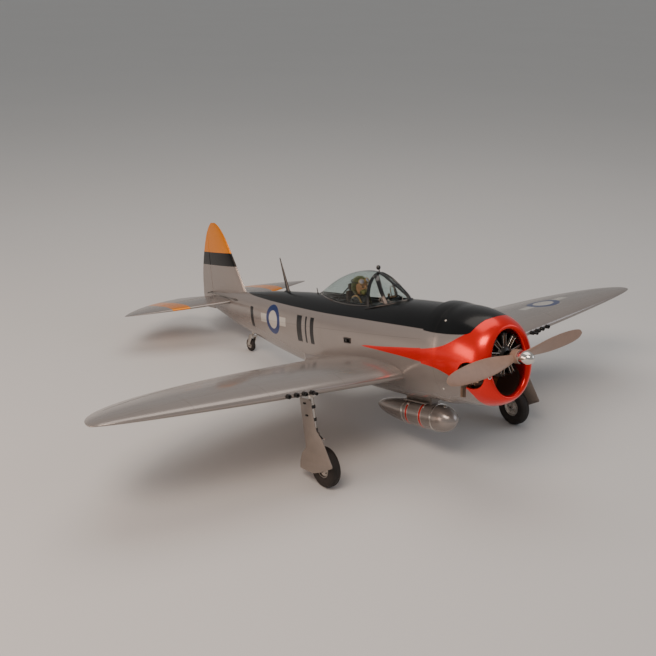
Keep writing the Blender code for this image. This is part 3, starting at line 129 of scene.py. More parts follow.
# Wing: half an ellipse for the leading edge and half for the trailing edge
TIP_Y = 0.350
LEAD_SWELL = 0.095
TRAIL_SWELL = 0.325
ROOT_X = 0.0868
DIHEDRAL_SLOPE = 0.0814
WING_Z_AT_X = (-0.075, 0.100)   # the wing plane's z at this x
NOSE_RISE = 0.016               # leading edge above the wing plane at the root
TAIL_DROP = 0.002               # trailing edge below the wing plane at the root
WING_THICKNESS = 0.118
WING_CAMBER = 0.022
CAMBER_POINT = 0.40
EDGE_HALF = 0.0006              # half thickness of a trailing edge
FLAP = {"inner": (0.115, 0.575), "outer": (0.425, 0.548), "upper": 3.0, "lower": 47.0}
AILERON = {"inner": (0.440, 0.545), "outer": (0.738, 0.432), "upper": 32.0, "lower": 32.0}
HINGE_GAP = 0.0012
ROD_REACH = 0.070               # wing pushrod, from its servo to its horn
ROD_RISE = 0.016
TUBE_Y = 0.432
TUBE_Z = -0.056
TUBE_R = 0.0065
TUBE_HALF = 0.240
GUN_X = (0.333, 0.352, 0.371, 0.391)
GUN_MUZZLE_Y = (0.242, 0.252, 0.261, 0.268)

# Tail
TAIL_HINGE_Y = 1.265
STAB_Z = 0.036
STAB_THICKNESS = 0.075
# Stabiliser outline: x, leading edge y, trailing edge y
STAB = (
    (0.0006, 1.127, 1.3740),
    (0.0600, 1.138, 1.3760),
    (0.1200, 1.155, 1.3740),
    (0.1800, 1.177, 1.3560),
    (0.2300, 1.197, 1.3270),
    (0.2650, 1.211, 1.2980),
    (0.2900, 1.221, 1.2730),
    (0.3070, 1.230, 1.2530),
    (0.3150, 1.238, 1.2440),
)
ELEVATOR_X = (0.0165, 0.287)
ELEVATOR_RAKE = 0.45            # slope of the inner edge, clear of the swinging rudder
ELEVATOR_BEVEL = 30.0
# Fin and rudder outline: z, leading edge y, trailing edge y
FIN = (
    (0.002, 1.050, 1.325),
    (0.030, 1.058, 1.337),
    (0.066, 1.074, 1.334),
    (0.110, 1.097, 1.326),
    (0.150, 1.119, 1.313),
    (0.190, 1.142, 1.296),
    (0.222, 1.162, 1.279),
    (0.246, 1.182, 1.262),
    (0.260, 1.200, 1.247),
    (0.267, 1.216, 1.236),
)
FIN_THICKNESS = 0.075
FIN_BASE_Z = 0.050
RUDDER_TOP_Z = 0.2535

# Main gear in the lowered position, left side
PIVOT = Vector((0.3105, 0.303, -0.057))
GEAR_TURN = math.radians(86.03)
GEAR_AXIS = Vector((0.1122, 0.9883, -0.1034)).normalized()
WHEEL = Vector((0.2925, 0.303, -0.2295))
WHEEL_HALF = 0.0130
HUB_R = 0.0235
DOOR_X = 0.3170
DOOR_T = 0.0015
DOOR = (
    (0.337, -0.0680), (0.335, -0.1330), (0.333, -0.1830), (0.352, -0.1990), (0.363, -0.2200),
    (0.367, -0.2370), (0.318, -0.2410), (0.289, -0.2330), (0.236, -0.2130), (0.265, -0.1560),
    (0.285, -0.1370), (0.292, -0.1020), (0.294, -0.0680),
)
STRUT_R = 0.0058
PISTON_R = 0.0038
STRUT_END_Z = -0.150
LINK_TOP = Vector((0.3105, 0.2935, -0.1475))
LINK_KNEE = Vector((0.3105, 0.2730, -0.1560))
LINK_LOW = Vector((0.3105, 0.2935, -0.1645))

# Tail gear
TAIL_POST = Vector((0.0, 1.060, -0.052))
TAIL_WHEEL = Vector((0.0, 1.083, -0.0935))

# Nose
PROP_Y = -0.0240
HUB_HALF = 0.0098
PROP_TILT = math.radians(3.4)   # left blade slightly raised
DRUM_Y = 0.190                  # drop tank's nose
DRUM_LENGTH = 0.286
DRUM_R = 0.0325
DRUM_Z = -0.1780

# Tail pushrods: servo end and horn end
ELEVATOR_ROD = (Vector((0.0200, 0.6000, 0.0030)), Vector((0.0262, 1.2600, 0.0140)))
RUDDER_ROD = (Vector((-0.0200, 0.6000, 0.0030)), Vector((-0.0240, 1.2640, 0.0570)))
DOOR_FRAME = Matrix(((0, 0, 1, 0), (1, 0, 0, 0), (0, 1, 0, 0), (0, 0, 0, 1)))
# Glass stations: y, half width, height of the top, height of the foot
SCREEN_GLASS = (
    (0.3150, 0.0060, 0.0990, 0.070), (0.3300, 0.0215, 0.1075, 0.070),
    (0.3550, 0.0330, 0.1215, 0.070), (0.3800, 0.0395, 0.1350, 0.070),
    (0.4050, 0.0430, 0.1480, 0.070), (0.4220, 0.0445, 0.1540, 0.070),
)
BUBBLE_GLASS = (
    (0.4230, 0.0440, 0.1545, 0.070), (0.4500, 0.0450, 0.1578, 0.070),
    (0.4850, 0.0448, 0.1570, 0.068), (0.5200, 0.0430, 0.1520, 0.066),
    (0.5600, 0.0390, 0.1415, 0.062), (0.6000, 0.0325, 0.1270, 0.060),
    (0.6400, 0.0235, 0.1090, 0.058), (0.6700, 0.0130, 0.0950, 0.056),
    (0.6840, 0.0060, 0.0890, 0.055),
)
# Propeller blade stations: radius, chord, pitch in degrees, thickness
BLADE = (
    (0.0100, 0.0160, 45, 0.0090), (0.0300, 0.0240, 42, 0.0090), (0.0500, 0.0315, 38, 0.0070),
    (0.0800, 0.0385, 31, 0.0052), (0.1150, 0.0400, 25, 0.0042), (0.1500, 0.0360, 20, 0.0034),
    (0.1750, 0.0290, 17, 0.0028), (0.1900, 0.0200, 15, 0.0022), (0.1965, 0.0100, 14, 0.0016),
    (0.1980, 0.0040, 14, 0.0010),
)

TURN = Matrix.Rotation(GEAR_TURN, 4, GEAR_AXIS)
STOW = Matrix.Translation(PIVOT) @ TURN @ Matrix.Translation(-PIVOT)
UP = Vector((0.0, 0.0, 1.0))
BODY_AROUND = 112               # points round a body section
AROUND = BODY_AROUND
CYLINDERS = 9                   # dummy radial
COOLING_FINS = 11
FIN_PITCH = 0.0019
TANK_NOSE = 0.17                # share of the tank's length that its blunt nose takes
TANK_STRAIGHT = 0.38            # share where its tail starts to draw in
TANK_STRAPS = (0.2450, 0.3510)
HUB_BOLTS = 6
BOLT_CIRCLE = 0.0145
CLAMP_Z = (-0.086, -0.115)      # the two straps that hold the gear door to its strut
LUG_X = 0.0040                  # half the gap between torque-link lugs
LINK_PIN_HALF = 0.0062
LINK_FRONT_Y = 0.2915
WIDE_CORNERS = (2, 8, 9)        # corners of the gear door with a bigger radius
CANOPY_SEAT = (0.29, 0.72)      # stretch of the body that the glass stands on
ATTITUDE = Matrix.Translation((0, SHIFT_Y, SHAFT_HEIGHT)) @ Matrix.Rotation(-PITCH, 4, "X")

# Paint edges along the body: y, z.  Black is above the first; red lies between the other two
BLACK_EDGE = (
    (0.0000, 0.1500), (0.0255, 0.0900), (0.0275, 0.0803), (0.0319, 0.0787), (0.0344, 0.0755),
    (0.0376, 0.0690), (0.0405, 0.0612), (0.0450, 0.0560), (0.0518, 0.0534), (0.0830, 0.0511),
    (0.1240, 0.0500), (0.1870, 0.0527), (0.4060, 0.0539), (0.5600, 0.0536), (0.7130, 0.0554),
    (0.8260, 0.0579), (0.9390, 0.0615), (1.0120, 0.0645), (1.0600, 0.0680), (1.4000, 0.0700),
)
RED_TOP = (
    (0.0000, 0.1500), (0.0480, 0.1000), (0.0530, 0.0545), (0.0581, 0.0517), (0.0714, 0.0446),
    (0.0906, 0.0343), (0.1169, 0.0242), (0.1470, 0.0180), (0.1886, 0.0126), (0.2584, 0.0067),
    (0.3336, 0.0003), (0.4085, -0.0063), (0.4300, -0.0300), (1.4000, -0.1400),
)
RED_LOW = (
    (0.0000, -0.1490), (0.0405, -0.1480), (0.0416, -0.1075), (0.0421, -0.0900), (0.0440, -0.0770),
    (0.0490, -0.0665), (0.0640, -0.0540), (0.0922, -0.0375), (0.1205, -0.0280), (0.1498, -0.0220),
    (0.1892, -0.0184), (0.2591, -0.0130), (0.3338, -0.0095), (0.4085, -0.0063), (1.4000, 0.1000),
)


# ---------------------------------------------------------------- what a user may change
def linear(code):
    """Scene-linear colour of an sRGB hex code."""
    values = []
    for k in (1, 3, 5):
        level = int(code[k:k + 2], 16) / 255
        values.append(level / 12.92 if level <= 0.04045 else ((level + 0.055) / 1.055) ** 2.4)
    return (*values, 1.0)


def colour_property(label, text, code):
    """A colour that shows in the panel, with its default given as a hex code."""
    return FloatVectorProperty(name=label, description=text, subtype="COLOR", size=4, min=0.0,
                               max=1.0, default=linear(code))


def length_property(label, text, default):
    """A length that shows in the panel, in metres."""
    return FloatProperty(name=label, description=text, default=default, min=0.0, unit="LENGTH",
                         subtype="DISTANCE", precision=4)


class WarbirdColours(bpy.types.PropertyGroup):
    """Paint and film colours."""

    silver: colour_property("Silver film", "Covering film of the body, wing and tail", "#98918d")
    black: colour_property("Black panel", "Anti-glare panel and canopy frames", "#050506")
    red: colour_property("Red paint", "Front of the cowl and the tank's bands", "#e81405")
    orange: colour_property("Orange film", "Fin tip and tailplane stripes", "#f08c00")
    blue: colour_property("Blue marking", "Ring of the round markings", "#16306e")
    pale: colour_property("Pale marking", "Disc of the round markings", "#cfcac2")
    propeller: colour_property("Propeller nylon", "Moulded propeller blades", "#94796a")
    tyre: colour_property("Tyre rubber", "Main and tail tyres", "#1c1613")
    glass: colour_property("Glazing", "Tint of the canopy", "#dfe9e8")


class WarbirdSizes(bpy.types.PropertyGroup):
    """Sizes of the small fittings."""

    frame_width: length_property("Frame width", "Width of the windscreen's frame bars", 0.0036)
    screw_head: length_property("Screw head", "Diameter of the cowl and door screws", 0.0044)
    seam: length_property("Seam width", "Width of the drawn panel seams", 0.0006)
    whip: length_property("Whip length", "Length of the short whip aerial", 0.0150)
    band: length_property("Band width", "Width of the red bands on the drop tank", 0.0060)


def colours():
    """The colours set in the panel."""
    return bpy.context.scene.warbird_colours


def sizes():
    """The sizes set in the panel."""
    return bpy.context.scene.warbird_sizes


# ---------------------------------------------------------------- meshes in the aircraft's frame
def new_collection(name):
    """Make a collection and link it to the scene."""
    collection = bpy.data.collections.new(name)
    bpy.context.scene.collection.children.link(collection)
    return collection


MODEL = new_collection("warbird_model")
BENCH = new_collection("bench")


def add_object(name, mesh):
    """Put a mesh on the bench as a shape still to be cut, joined or finished."""
    obj = bpy.data.objects.new("bench_" + name, mesh)
    BENCH.objects.link(obj)
    return obj


def mesh_from(bm, name):
    """Turn a bmesh into a mesh with its faces pointing outwards."""
    bmesh.ops.recalc_face_normals(bm, faces=bm.faces)
    if bm.calc_volume(signed=True) < 0:
        bmesh.ops.reverse_faces(bm, faces=bm.faces)
    mesh = bpy.data.meshes.new(name)
    bm.to_mesh(mesh)
    bm.free()
    return mesh


def boolean(obj, other, operation):
    """Add one exact Boolean of another object."""
    modifier = obj.modifiers.new(f"{operation.lower()}_{other.name}", "BOOLEAN")
    modifier.operation = operation
    modifier.solver = "EXACT"
    modifier.object = other
    return obj


def cut(obj, *others):
    """Cut each of the others out of the object."""
    for other in others:
        boolean(obj, other, "DIFFERENCE")
    return obj


def add(obj, *others):
    """Join each of the others to the object as one body."""
    for other in others:
        boolean(obj, other, "UNION")
    return obj


def keep(obj, *others):
    """Keep only what the object shares with each of the others."""
    for other in others:
        boolean(obj, other, "INTERSECT")
    return obj


def mirrored(side, point):
    """A left-hand point, or its mirror image for side -1."""
    return Vector((side * point[0], point[1], point[2]))


def loft(name, rings, loop=False):
    """Skin a row of rings with equal point counts; loop joins the last ring to the first."""
    bm = bmesh.new()
    rows = [[bm.verts.new(point) for point in ring] for ring in rings]
    count = len(rows[0])
    pairs = list(zip(rows, rows[1:]))
    if loop:
        pairs.append((rows[-1], rows[0]))
    for first, second in pairs:
        for i in range(count):
            j = (i + 1) % count
            bm.faces.new((first[i], first[j], second[j], second[i]))
    if not loop:
        bm.faces.new(rows[0])
        bm.faces.new(rows[-1])
    return add_object(name, mesh_from(bm, name))


def soften(obj, width, segments=2):
    """Round the sharp edges of a shape."""
    bevel = obj.modifiers.new("soft_edges", "BEVEL")
    bevel.width = width
    bevel.segments = segments
    bevel.limit_method = "ANGLE"
    bevel.angle_limit = math.radians(40.0)
    return obj


def box(name, low, high, soft=0.0):
    """A block between two corners, with rounded edges where soft is given."""
    bm = bmesh.new()
    bmesh.ops.create_cube(bm, size=1.0)
    bmesh.ops.scale(bm, vec=Vector(high) - Vector(low), verts=bm.verts)
    bmesh.ops.translate(bm, vec=(Vector(high) + Vector(low)) / 2, verts=bm.verts)
    obj = add_object(name, mesh_from(bm, name))
    return soften(obj, soft) if soft else obj


def rod(name, start, end, radius, sides=28, end_radius=None, soft=0.0):
    """A round bar, or a cone, from one point to another."""
    start = Vector(start)
    end = Vector(end)
    bm = bmesh.new()
    second = radius if end_radius is None else end_radius
    bmesh.ops.create_cone(bm, cap_ends=True, segments=sides, radius1=radius, radius2=second,
                          depth=(end - start).length)
    turn = UP.rotation_difference((end - start).normalized()).to_matrix().to_4x4()
    bm.transform(Matrix.Translation((start + end) / 2) @ turn)
    obj = add_object(name, mesh_from(bm, name))
    return soften(obj, soft) if soft else obj


def ball(name, centre, radii, around=32, rings=20):
    """An ellipsoid."""
    bm = bmesh.new()
    bmesh.ops.create_uvsphere(bm, u_segments=around, v_segments=rings, radius=1.0)
    bmesh.ops.scale(bm, vec=radii, verts=bm.verts)
    bmesh.ops.translate(bm, vec=centre, verts=bm.verts)
    return add_object(name, mesh_from(bm, name))


def lathe(name, profile, origin, axis, sides=64, ring=False):
    """Turn a profile of (radius, distance along the axis) round an axis."""
    bm = bmesh.new()
    rows = []
    for radius, along in profile:
        count = sides if radius > 1e-6 else 1
        rows.append([bm.verts.new((radius * math.cos(2 * math.pi * k / sides),
                                   radius * math.sin(2 * math.pi * k / sides), along))
                     for k in range(count)])
    pairs = list(zip(rows, rows[1:]))
    if ring:
        pairs.append((rows[-1], rows[0]))
    for first, second in pairs:
        for i in range(sides):
            j = (i + 1) % sides
            corners = [first[i % len(first)], first[j % len(first)], second[j % len(second)],
                       second[i % len(second)]]
            faces = [v for n, v in enumerate(corners) if v not in corners[:n]]
            if len(faces) > 2:
                bm.faces.new(faces)
    turn = UP.rotation_difference(Vector(axis).normalized()).to_matrix().to_4x4()
    bm.transform(Matrix.Translation(Vector(origin)) @ turn)
    return add_object(name, mesh_from(bm, name))


def rounded(profile, steps=4, reach=0.35):
    """Round the corners of a profile with short quadratic curves."""
    smooth = [profile[0]]
    for before, corner, after in zip(profile, profile[1:], profile[2:]):
        start = Vector(corner).lerp(Vector(before), reach)
        end = Vector(corner).lerp(Vector(after), reach)
        for k in range(steps + 1):
            t = k / steps
            point = start.lerp(Vector(corner), t).lerp(Vector(corner).lerp(end, t), t)
            smooth.append(tuple(point))
    smooth.append(profile[-1])
    return smooth


def from_curve(name, curve):
    """Turn a filled or bevelled curve into a mesh on the bench."""
    holder = bpy.data.objects.new(name + "_curve", curve)
    BENCH.objects.link(holder)
    bpy.context.view_layer.update()
    depsgraph = bpy.context.evaluated_depsgraph_get()
    mesh = bpy.data.meshes.new_from_object(holder.evaluated_get(depsgraph))
    bpy.data.objects.remove(holder)
    bm = bmesh.new()
    bm.from_mesh(mesh)
    bmesh.ops.remove_doubles(bm, verts=bm.verts, dist=0.00001)
    return bm


def plate(name, outline, thickness, frame_matrix, soft=0.0):
    """A flat sheet of any outline, placed by a matrix."""
    curve = bpy.data.curves.new(name, "CURVE")
    curve.dimensions = "2D"
    curve.fill_mode = "BOTH"
    curve.extrude = thickness / 2
    path = curve.splines.new("POLY")
    path.points.add(len(outline) - 1)
    path.use_cyclic_u = True
    for point, (u, v) in zip(path.points, outline):
        point.co = (u, v, 0.0, 1.0)
    bm = from_curve(name, curve)
    bm.transform(frame_matrix)
    obj = add_object(name, mesh_from(bm, name))
    return soften(obj, soft) if soft else obj


def wire(name, points, radius, smooth=True, resolution=10):
    """A bent bar along a smooth path."""
    curve = bpy.data.curves.new(name, "CURVE")
    curve.dimensions = "3D"
    curve.bevel_depth = radius
    curve.bevel_resolution = 4
    curve.use_fill_caps = True
    path = curve.splines.new("BEZIER" if smooth else "POLY")
    if smooth:
        path.bezier_points.add(len(points) - 1)
        path.resolution_u = resolution
        for point, place in zip(path.bezier_points, points):
            point.co = place
            point.handle_left_type = "AUTO"
            point.handle_right_type = "AUTO"
    else:
        path.points.add(len(points) - 1)
        for point, place in zip(path.points, points):
            point.co = (*place, 1.0)
    bm = from_curve(name, curve)
    return add_object(name, mesh_from(bm, name))


def evaluated(obj):
    """The mesh of a bench shape with its modifiers applied, in the aircraft's frame."""
    bpy.context.view_layer.update()
    depsgraph = bpy.context.evaluated_depsgraph_get()
    mesh = bpy.data.meshes.new_from_object(obj.evaluated_get(depsgraph))
    mesh.transform(obj.matrix_world)
    return mesh


def piece(name, sources, body, nodes=(), angle=35.0):
    """Join bench shapes, each with its finish, into one piece that rides on a body."""
    bm = bmesh.new()
    finishes = []
    for source, finish in sources:
        if finish not in finishes:
            finishes.append(finish)
        mesh = evaluated(source)
        for face in mesh.polygons:
            face.material_index = finishes.index(finish)
        bm.from_mesh(mesh)
        bpy.data.meshes.remove(mesh)
    bm.transform(ATTITUDE)
    mesh = bpy.data.meshes.new(name)
    bm.to_mesh(mesh)
    bm.free()
    for finish in finishes:
        mesh.materials.append(FINISHES[finish]())
    mesh.shade_smooth()
    mesh.set_sharp_from_angle(angle=math.radians(angle))
    obj = bpy.data.objects.new(name, mesh)
    MODEL.objects.link(obj)
    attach(obj, body)
    if nodes:
        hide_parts(*nodes)
    return obj


def clear_bench():
    """Remove the shapes that the finished pieces were made from."""
    for obj in list(BENCH.objects):
        bpy.data.objects.remove(obj, do_unlink=True)


# ---------------------------------------------------------------- finishes
def add_node(tree, kind, inputs=None, **settings):
    """Add a node, set it up, and link or fill its inputs."""
    node = tree.nodes.new(kind)
    for key, value in settings.items():
        setattr(node, key, value)
    for key, value in (inputs or {}).items():
        if isinstance(value, bpy.types.NodeSocket):
            tree.links.new(value, node.inputs[key])
        else:
            node.inputs[key].default_value = value
    return node


def start_finish(name, **sockets):
    """A material with one shader whose constant sockets are set on it."""
    made = bpy.data.materials.new(name)
    made.use_nodes = True
    tree = made.node_tree
    tree.nodes.clear()
    shader = add_node(tree, "ShaderNodeBsdfPrincipled")
    for key, value in sockets.items():
        shader.inputs[key.replace("_", " ")].default_value = value
    add_node(tree, "ShaderNodeOutputMaterial", {"Surface": shader.outputs[0]})
    return made, tree, shader


def level_place(tree):
    """Object coordinates turned back to the level aircraft."""
    coords = add_node(tree, "ShaderNodeTexCoord")
    level = add_node(tree, "ShaderNodeMapping", {
        "Vector": coords.outputs["Object"], "Location": (0.0, SHIFT_Y, SHAFT_HEIGHT),
        "Rotation": (-PITCH, 0.0, 0.0)}, vector_type="TEXTURE")
    return level.outputs[0]


def split(tree, vector):
    """The three parts of a place."""
    return add_node(tree, "ShaderNodeSeparateXYZ", {"Vector": vector}).outputs


def calc(tree, operation, first, second=0.0, third=0.0):
    """One sum on numbers or sockets."""
    node = add_node(tree, "ShaderNodeMath", {0: first, 1: second, 2: third}, operation=operation)
    return node.outputs[0]


def above(tree, value, limit, soft=0.0003):
    """1 where a value is over a limit, 0 under it, with a narrow soft edge."""
    gap = calc(tree, "SUBTRACT", value, limit)
    return add_node(tree, "ShaderNodeMapRange", {0: gap, 1: -soft, 2: soft}).outputs[0]


def between(tree, value, low, high, soft=0.0003):
    """1 where a value lies between two limits."""
    return calc(tree, "SUBTRACT", above(tree, value, low, soft), above(tree, value, high, soft))


def mixed(tree, share, first, second):
    """A colour between two, by a share."""
    node = add_node(tree, "ShaderNodeMix", {0: share, 6: first, 7: second}, data_type="RGBA")
    return node.outputs[2]


def noise(tree, vector, size, detail=3.0, stretch=(1.0, 1.0, 1.0)):
    """Soft noise whose blotches are about the given size."""
    scaled = add_node(tree, "ShaderNodeMapping", {"Vector": vector, "Scale": stretch})
    node = add_node(tree, "ShaderNodeTexNoise", {"Vector": scaled.outputs[0], "Scale": 1.0 / size,
                                                 "Detail": detail, "Roughness": 0.55})
    return node.outputs[0]


def ranged(tree, value, low, high):
    """Noise stretched to a range."""
    node = add_node(tree, "ShaderNodeMapRange", {0: value, 1: 0.3, 2: 0.7, 3: low, 4: high})
    return node.outputs[0]


def shaded(tree, colour, value, low, high):
    """A colour made lighter and darker by noise."""
    factor = ranged(tree, value, low, high)
    if not isinstance(colour, bpy.types.NodeSocket):
        colour = tuple(colour)[:3]
    node = add_node(tree, "ShaderNodeVectorMath", {0: colour, "Scale": factor}, operation="SCALE")
    return node.outputs[0]


def bumps(tree, shader, layers):
    """Stack bump layers of (height, strength, depth in metres) on a shader."""
    normal = None
    for height, strength, depth in layers:
        inputs = {"Height": height, "Strength": strength, "Distance": depth}
        if normal:
            inputs["Normal"] = normal
        normal = add_node(tree, "ShaderNodeBump", inputs).outputs[0]
    tree.links.new(normal, shader.inputs["Normal"])


def edge_height(tree, y, table):
    """Height of a paint edge at a distance along the body."""
    span = table[-1][0]
    share = calc(tree, "DIVIDE", y, span)
    curve = add_node(tree, "ShaderNodeFloatCurve", {"Value": share})
    points = curve.mapping.curves[0].points
    for at, height in table[1:-1]:
        points.new(at / span, (height + 0.15) / 0.30)
    points[0].location = (0.0, (table[0][1] + 0.15) / 0.30)
    points[-1].location = (1.0, (table[-1][1] + 0.15) / 0.30)
    for point in points:
        point.handle_type = "AUTO_CLAMPED"
    curve.mapping.update()
    return calc(tree, "MULTIPLY_ADD", curve.outputs[0], 0.30, -0.15)


def disc(tree, across, along, centre, radius):
    """1 inside a circle on two of the parts of a place."""
    u = calc(tree, "SUBTRACT", across, centre[0])
    v = calc(tree, "SUBTRACT", along, centre[1])
    square = calc(tree, "MULTIPLY_ADD", u, u, calc(tree, "MULTIPLY", v, v))
    away = calc(tree, "SQRT", square)
    return calc(tree, "SUBTRACT", 1.0, above(tree, away, radius))


def block(tree, across, along, low, high):
    """1 inside a rectangle on two of the parts of a place."""
    return calc(tree, "MULTIPLY", between(tree, across, low[0], high[0]),
                between(tree, along, low[1], high[1]))


def marking(tree, colour, across, along, centre, radius, bar):
    """A round marking of the maker's own: a ring and a disc between two plain bars."""
    reach = radius + bar
    u, v = centre
    third = radius * 0.30
    bars = block(tree, across, along, (u - reach, v - third), (u + reach, v + third))
    colour = mixed(tree, bars, colour, colours().pale)
    colour = mixed(tree, disc(tree, across, along, centre, radius), colour, colours().blue)
    return mixed(tree, disc(tree, across, along, centre, radius * 0.62), colour, colours().pale)


def film(tree, shader, place, colour, seams=()):
    """Glossy covering film: faint waves over the frame, orange peel, scuffs and dark seams."""
    waves = noise(tree, place, 0.070, 1.0, (1.0, 0.55, 1.0))
    peel = noise(tree, place, 0.0022, 2.0)
    scuffs = noise(tree, place, 0.012, 5.0, (1.0, 0.3, 1.0))
    toned = shaded(tree, colour, waves, 0.975, 1.02)
    toned = shaded(tree, toned, scuffs, 0.992, 1.006)
    dark = 0.0
    for seam in seams:
        dark = calc(tree, "MAXIMUM", dark, seam)
    toned = mixed(tree, calc(tree, "MULTIPLY", dark, 0.45), toned, linear("#3d3632"))
    tree.links.new(toned, shader.inputs["Base Color"])
    tree.links.new(ranged(tree, scuffs, 0.235, 0.265), shader.inputs["Roughness"])
    groove = calc(tree, "SUBTRACT", 1.0, dark)
    bumps(tree, shader, ((waves, 0.10, 0.0006), (peel, 0.05, 0.00002), (groove, 0.5, 0.0002)))


def seam_at(tree, value, at):
    """A thin seam where a value crosses a mark."""
    half = sizes().seam / 2
    return between(tree, calc(tree, "SUBTRACT", value, at), -half, half, 0.00015)


def silver_film(name, metal=0.55, coat=0.25, coat_rough=0.10):
    """Start a silver covering: its material, tree, shader and place in the level frame."""
    made, tree, shader = start_finish(name, Metallic=metal, Coat_Weight=coat,
                                      Coat_Roughness=coat_rough)
    return made, tree, shader, level_place(tree)


def body_film():
    """Moulded body: gloss silver, black top panel, red nose with a spear behind it, markings."""
    made, tree, shader, place = silver_film("silver_body_film")
    y, z = split(tree, place)[1:]
    black = above(tree, z, edge_height(tree, y, BLACK_EDGE))
    red = calc(tree, "MULTIPLY", above(tree, z, edge_height(tree, y, RED_LOW)),
               calc(tree, "SUBTRACT", 1.0, above(tree, z, edge_height(tree, y, RED_TOP))))
    colour = mixed(tree, red, colours().silver, colours().red)
    colour = marking(tree, colour, y, z, (0.852, 0.012), 0.040, 0.034)
    codes = ((0.628, 0.646), (0.664, 0.672), (0.690, 0.716))
    for low, high in codes:
        bar = block(tree, y, z, (low, -0.030), (high, 0.038))
        colour = mixed(tree, bar, colour, colours().black)
    bar = block(tree, y, z, (0.976, -0.022), (0.994, 0.036))
    colour = mixed(tree, bar, colour, colours().black)
    colour = mixed(tree, black, colour, colours().black)
    middle = calc(tree, "MULTIPLY_ADD", y, -0.036, 0.0385)
    side = calc(tree, "MULTIPLY", between(tree, y, 0.18, 1.04), seam_at(tree, z, middle))
    film(tree, shader, place, colour, (side, seam_at(tree, y, 0.1405), seam_at(tree, y, 0.590)))
    return made


def wing_film():
    """Wing: silver film with chordwise laps, a spanwise seam and one round marking on the left
    wing.
    """
    made, tree, shader, place = silver_film("silver_wing_film")
    x, y, z = split(tree, place)
    upper = above(tree, z, calc(tree, "MULTIPLY_ADD", x, DIHEDRAL_SLOPE, -0.075), 0.002)
    marked = marking(tree, colours().silver, x, y, (0.503, 0.383), 0.044, 0.036)
    colour = mixed(tree, upper, colours().silver, marked)
    across = calc(tree, "ABSOLUTE", x)
    laps = [seam_at(tree, across, at) for at in (0.108, 0.245, 0.432, 0.600)]
    laps.append(seam_at(tree, y, 0.330))
    film(tree, shader, place, colour, laps)
    return made


def tail_film():
    """Tailplane: silver film with one orange stripe across each half."""
    made, tree, shader, place = silver_film("silver_tail_film")
    x = split(tree, place)[0]
    stripe = between(tree, calc(tree, "ABSOLUTE", x), 0.142, 0.190)
    colour = mixed(tree, stripe, colours().silver, colours().orange)
    film(tree, shader, place, colour)
    return made


def fin_film():
    """Fin and rudder: silver below, a black band and an orange tip."""
    made, tree, shader, place = silver_film("silver_fin_film")
    z = split(tree, place)[2]
    colour = mixed(tree, above(tree, z, 0.138), colours().silver, colours().black)
    colour = mixed(tree, above(tree, z, 0.177), colour, colours().orange)
    film(tree, shader, place, colour)
    return made


def plain_finish(name, colour, rough, grain, bump, tone=(0.92, 1.06), **sockets):
    """A moulded, turned or painted surface: toned, with its own grain and uneven gloss."""
    made, tree, shader = start_finish(name, **sockets)
    place = level_place(tree)
    fine = noise(tree, place, grain, 4.0)
    broad = noise(tree, place, grain * 14.0, 2.0)
    toned = shaded(tree, shaded(tree, colour, broad, *tone), fine, 0.97, 1.03)
    tree.links.new(toned, shader.inputs["Base Color"])
    tree.links.new(ranged(tree, broad, *rough), shader.inputs["Roughness"])
    bumps(tree, shader, ((fine, bump, grain * 0.06),))
    return made


def brushed_finish(name, colour, rough, stretch=(1.0, 1.0, 14.0)):
    """Bare metal with fine tool marks that run one way, and slight tarnish."""
    made, tree, shader = start_finish(name, Metallic=1.0)
    place = level_place(tree)
    marks = noise(tree, place, 0.0012, 4.0, stretch)
    tarnish = noise(tree, place, 0.012, 3.0)
    toned = shaded(tree, shaded(tree, colour, tarnish, 0.94, 1.03), marks, 0.97, 1.02)
    tree.links.new(toned, shader.inputs["Base Color"])
    tree.links.new(ranged(tree, tarnish, *rough), shader.inputs["Roughness"])
    bumps(tree, shader, ((marks, 0.25, 0.00004),))
    return made


def woven_finish(name, colour, thread, rough=(0.75, 0.9)):
    """Cloth or webbing: crossed threads with sheen."""
    made, tree, shader = start_finish(name, Sheen_Weight=0.35, Sheen_Roughness=0.5)
    place = level_place(tree)
    x, y, z = split(tree, place)
    rows = []
    for along in (calc(tree, "ADD", x, y), calc(tree, "SUBTRACT", z, y)):
        turn = calc(tree, "MULTIPLY", along, 2 * math.pi / thread)
        rows.append(calc(tree, "SINE", turn))
    weave = calc(tree, "MULTIPLY_ADD", rows[0], 0.25, calc(tree, "MULTIPLY_ADD", rows[1], 0.25,
                                                         0.5))
    wear = noise(tree, place, 0.008, 4.0)
    toned = shaded(tree, shaded(tree, colour, wear, 0.80, 1.15), weave, 0.85, 1.12)
    tree.links.new(toned, shader.inputs["Base Color"])
    tree.links.new(ranged(tree, wear, *rough), shader.inputs["Roughness"])
    bumps(tree, shader, ((weave, 0.5, thread * 0.3), (wear, 0.3, 0.0004)))
    return made


def glazing():
    """Clear moulded canopy: a faint cool tint, hard gloss and hairline polishing marks."""
    made, tree, shader = start_finish("clear_glazing", Transmission_Weight=1.0, IOR=1.20,
                                      Specular_IOR_Level=0.65)
    place = level_place(tree)
    haze = noise(tree, place, 0.015, 3.0)
    tint = shaded(tree, colours().glass, haze, 0.97, 1.0)
    tree.links.new(tint, shader.inputs["Base Color"])
    tree.links.new(ranged(tree, haze, 0.01, 0.035), shader.inputs["Roughness"])
    bumps(tree, shader, ((haze, 0.02, 0.0004),))
    return made


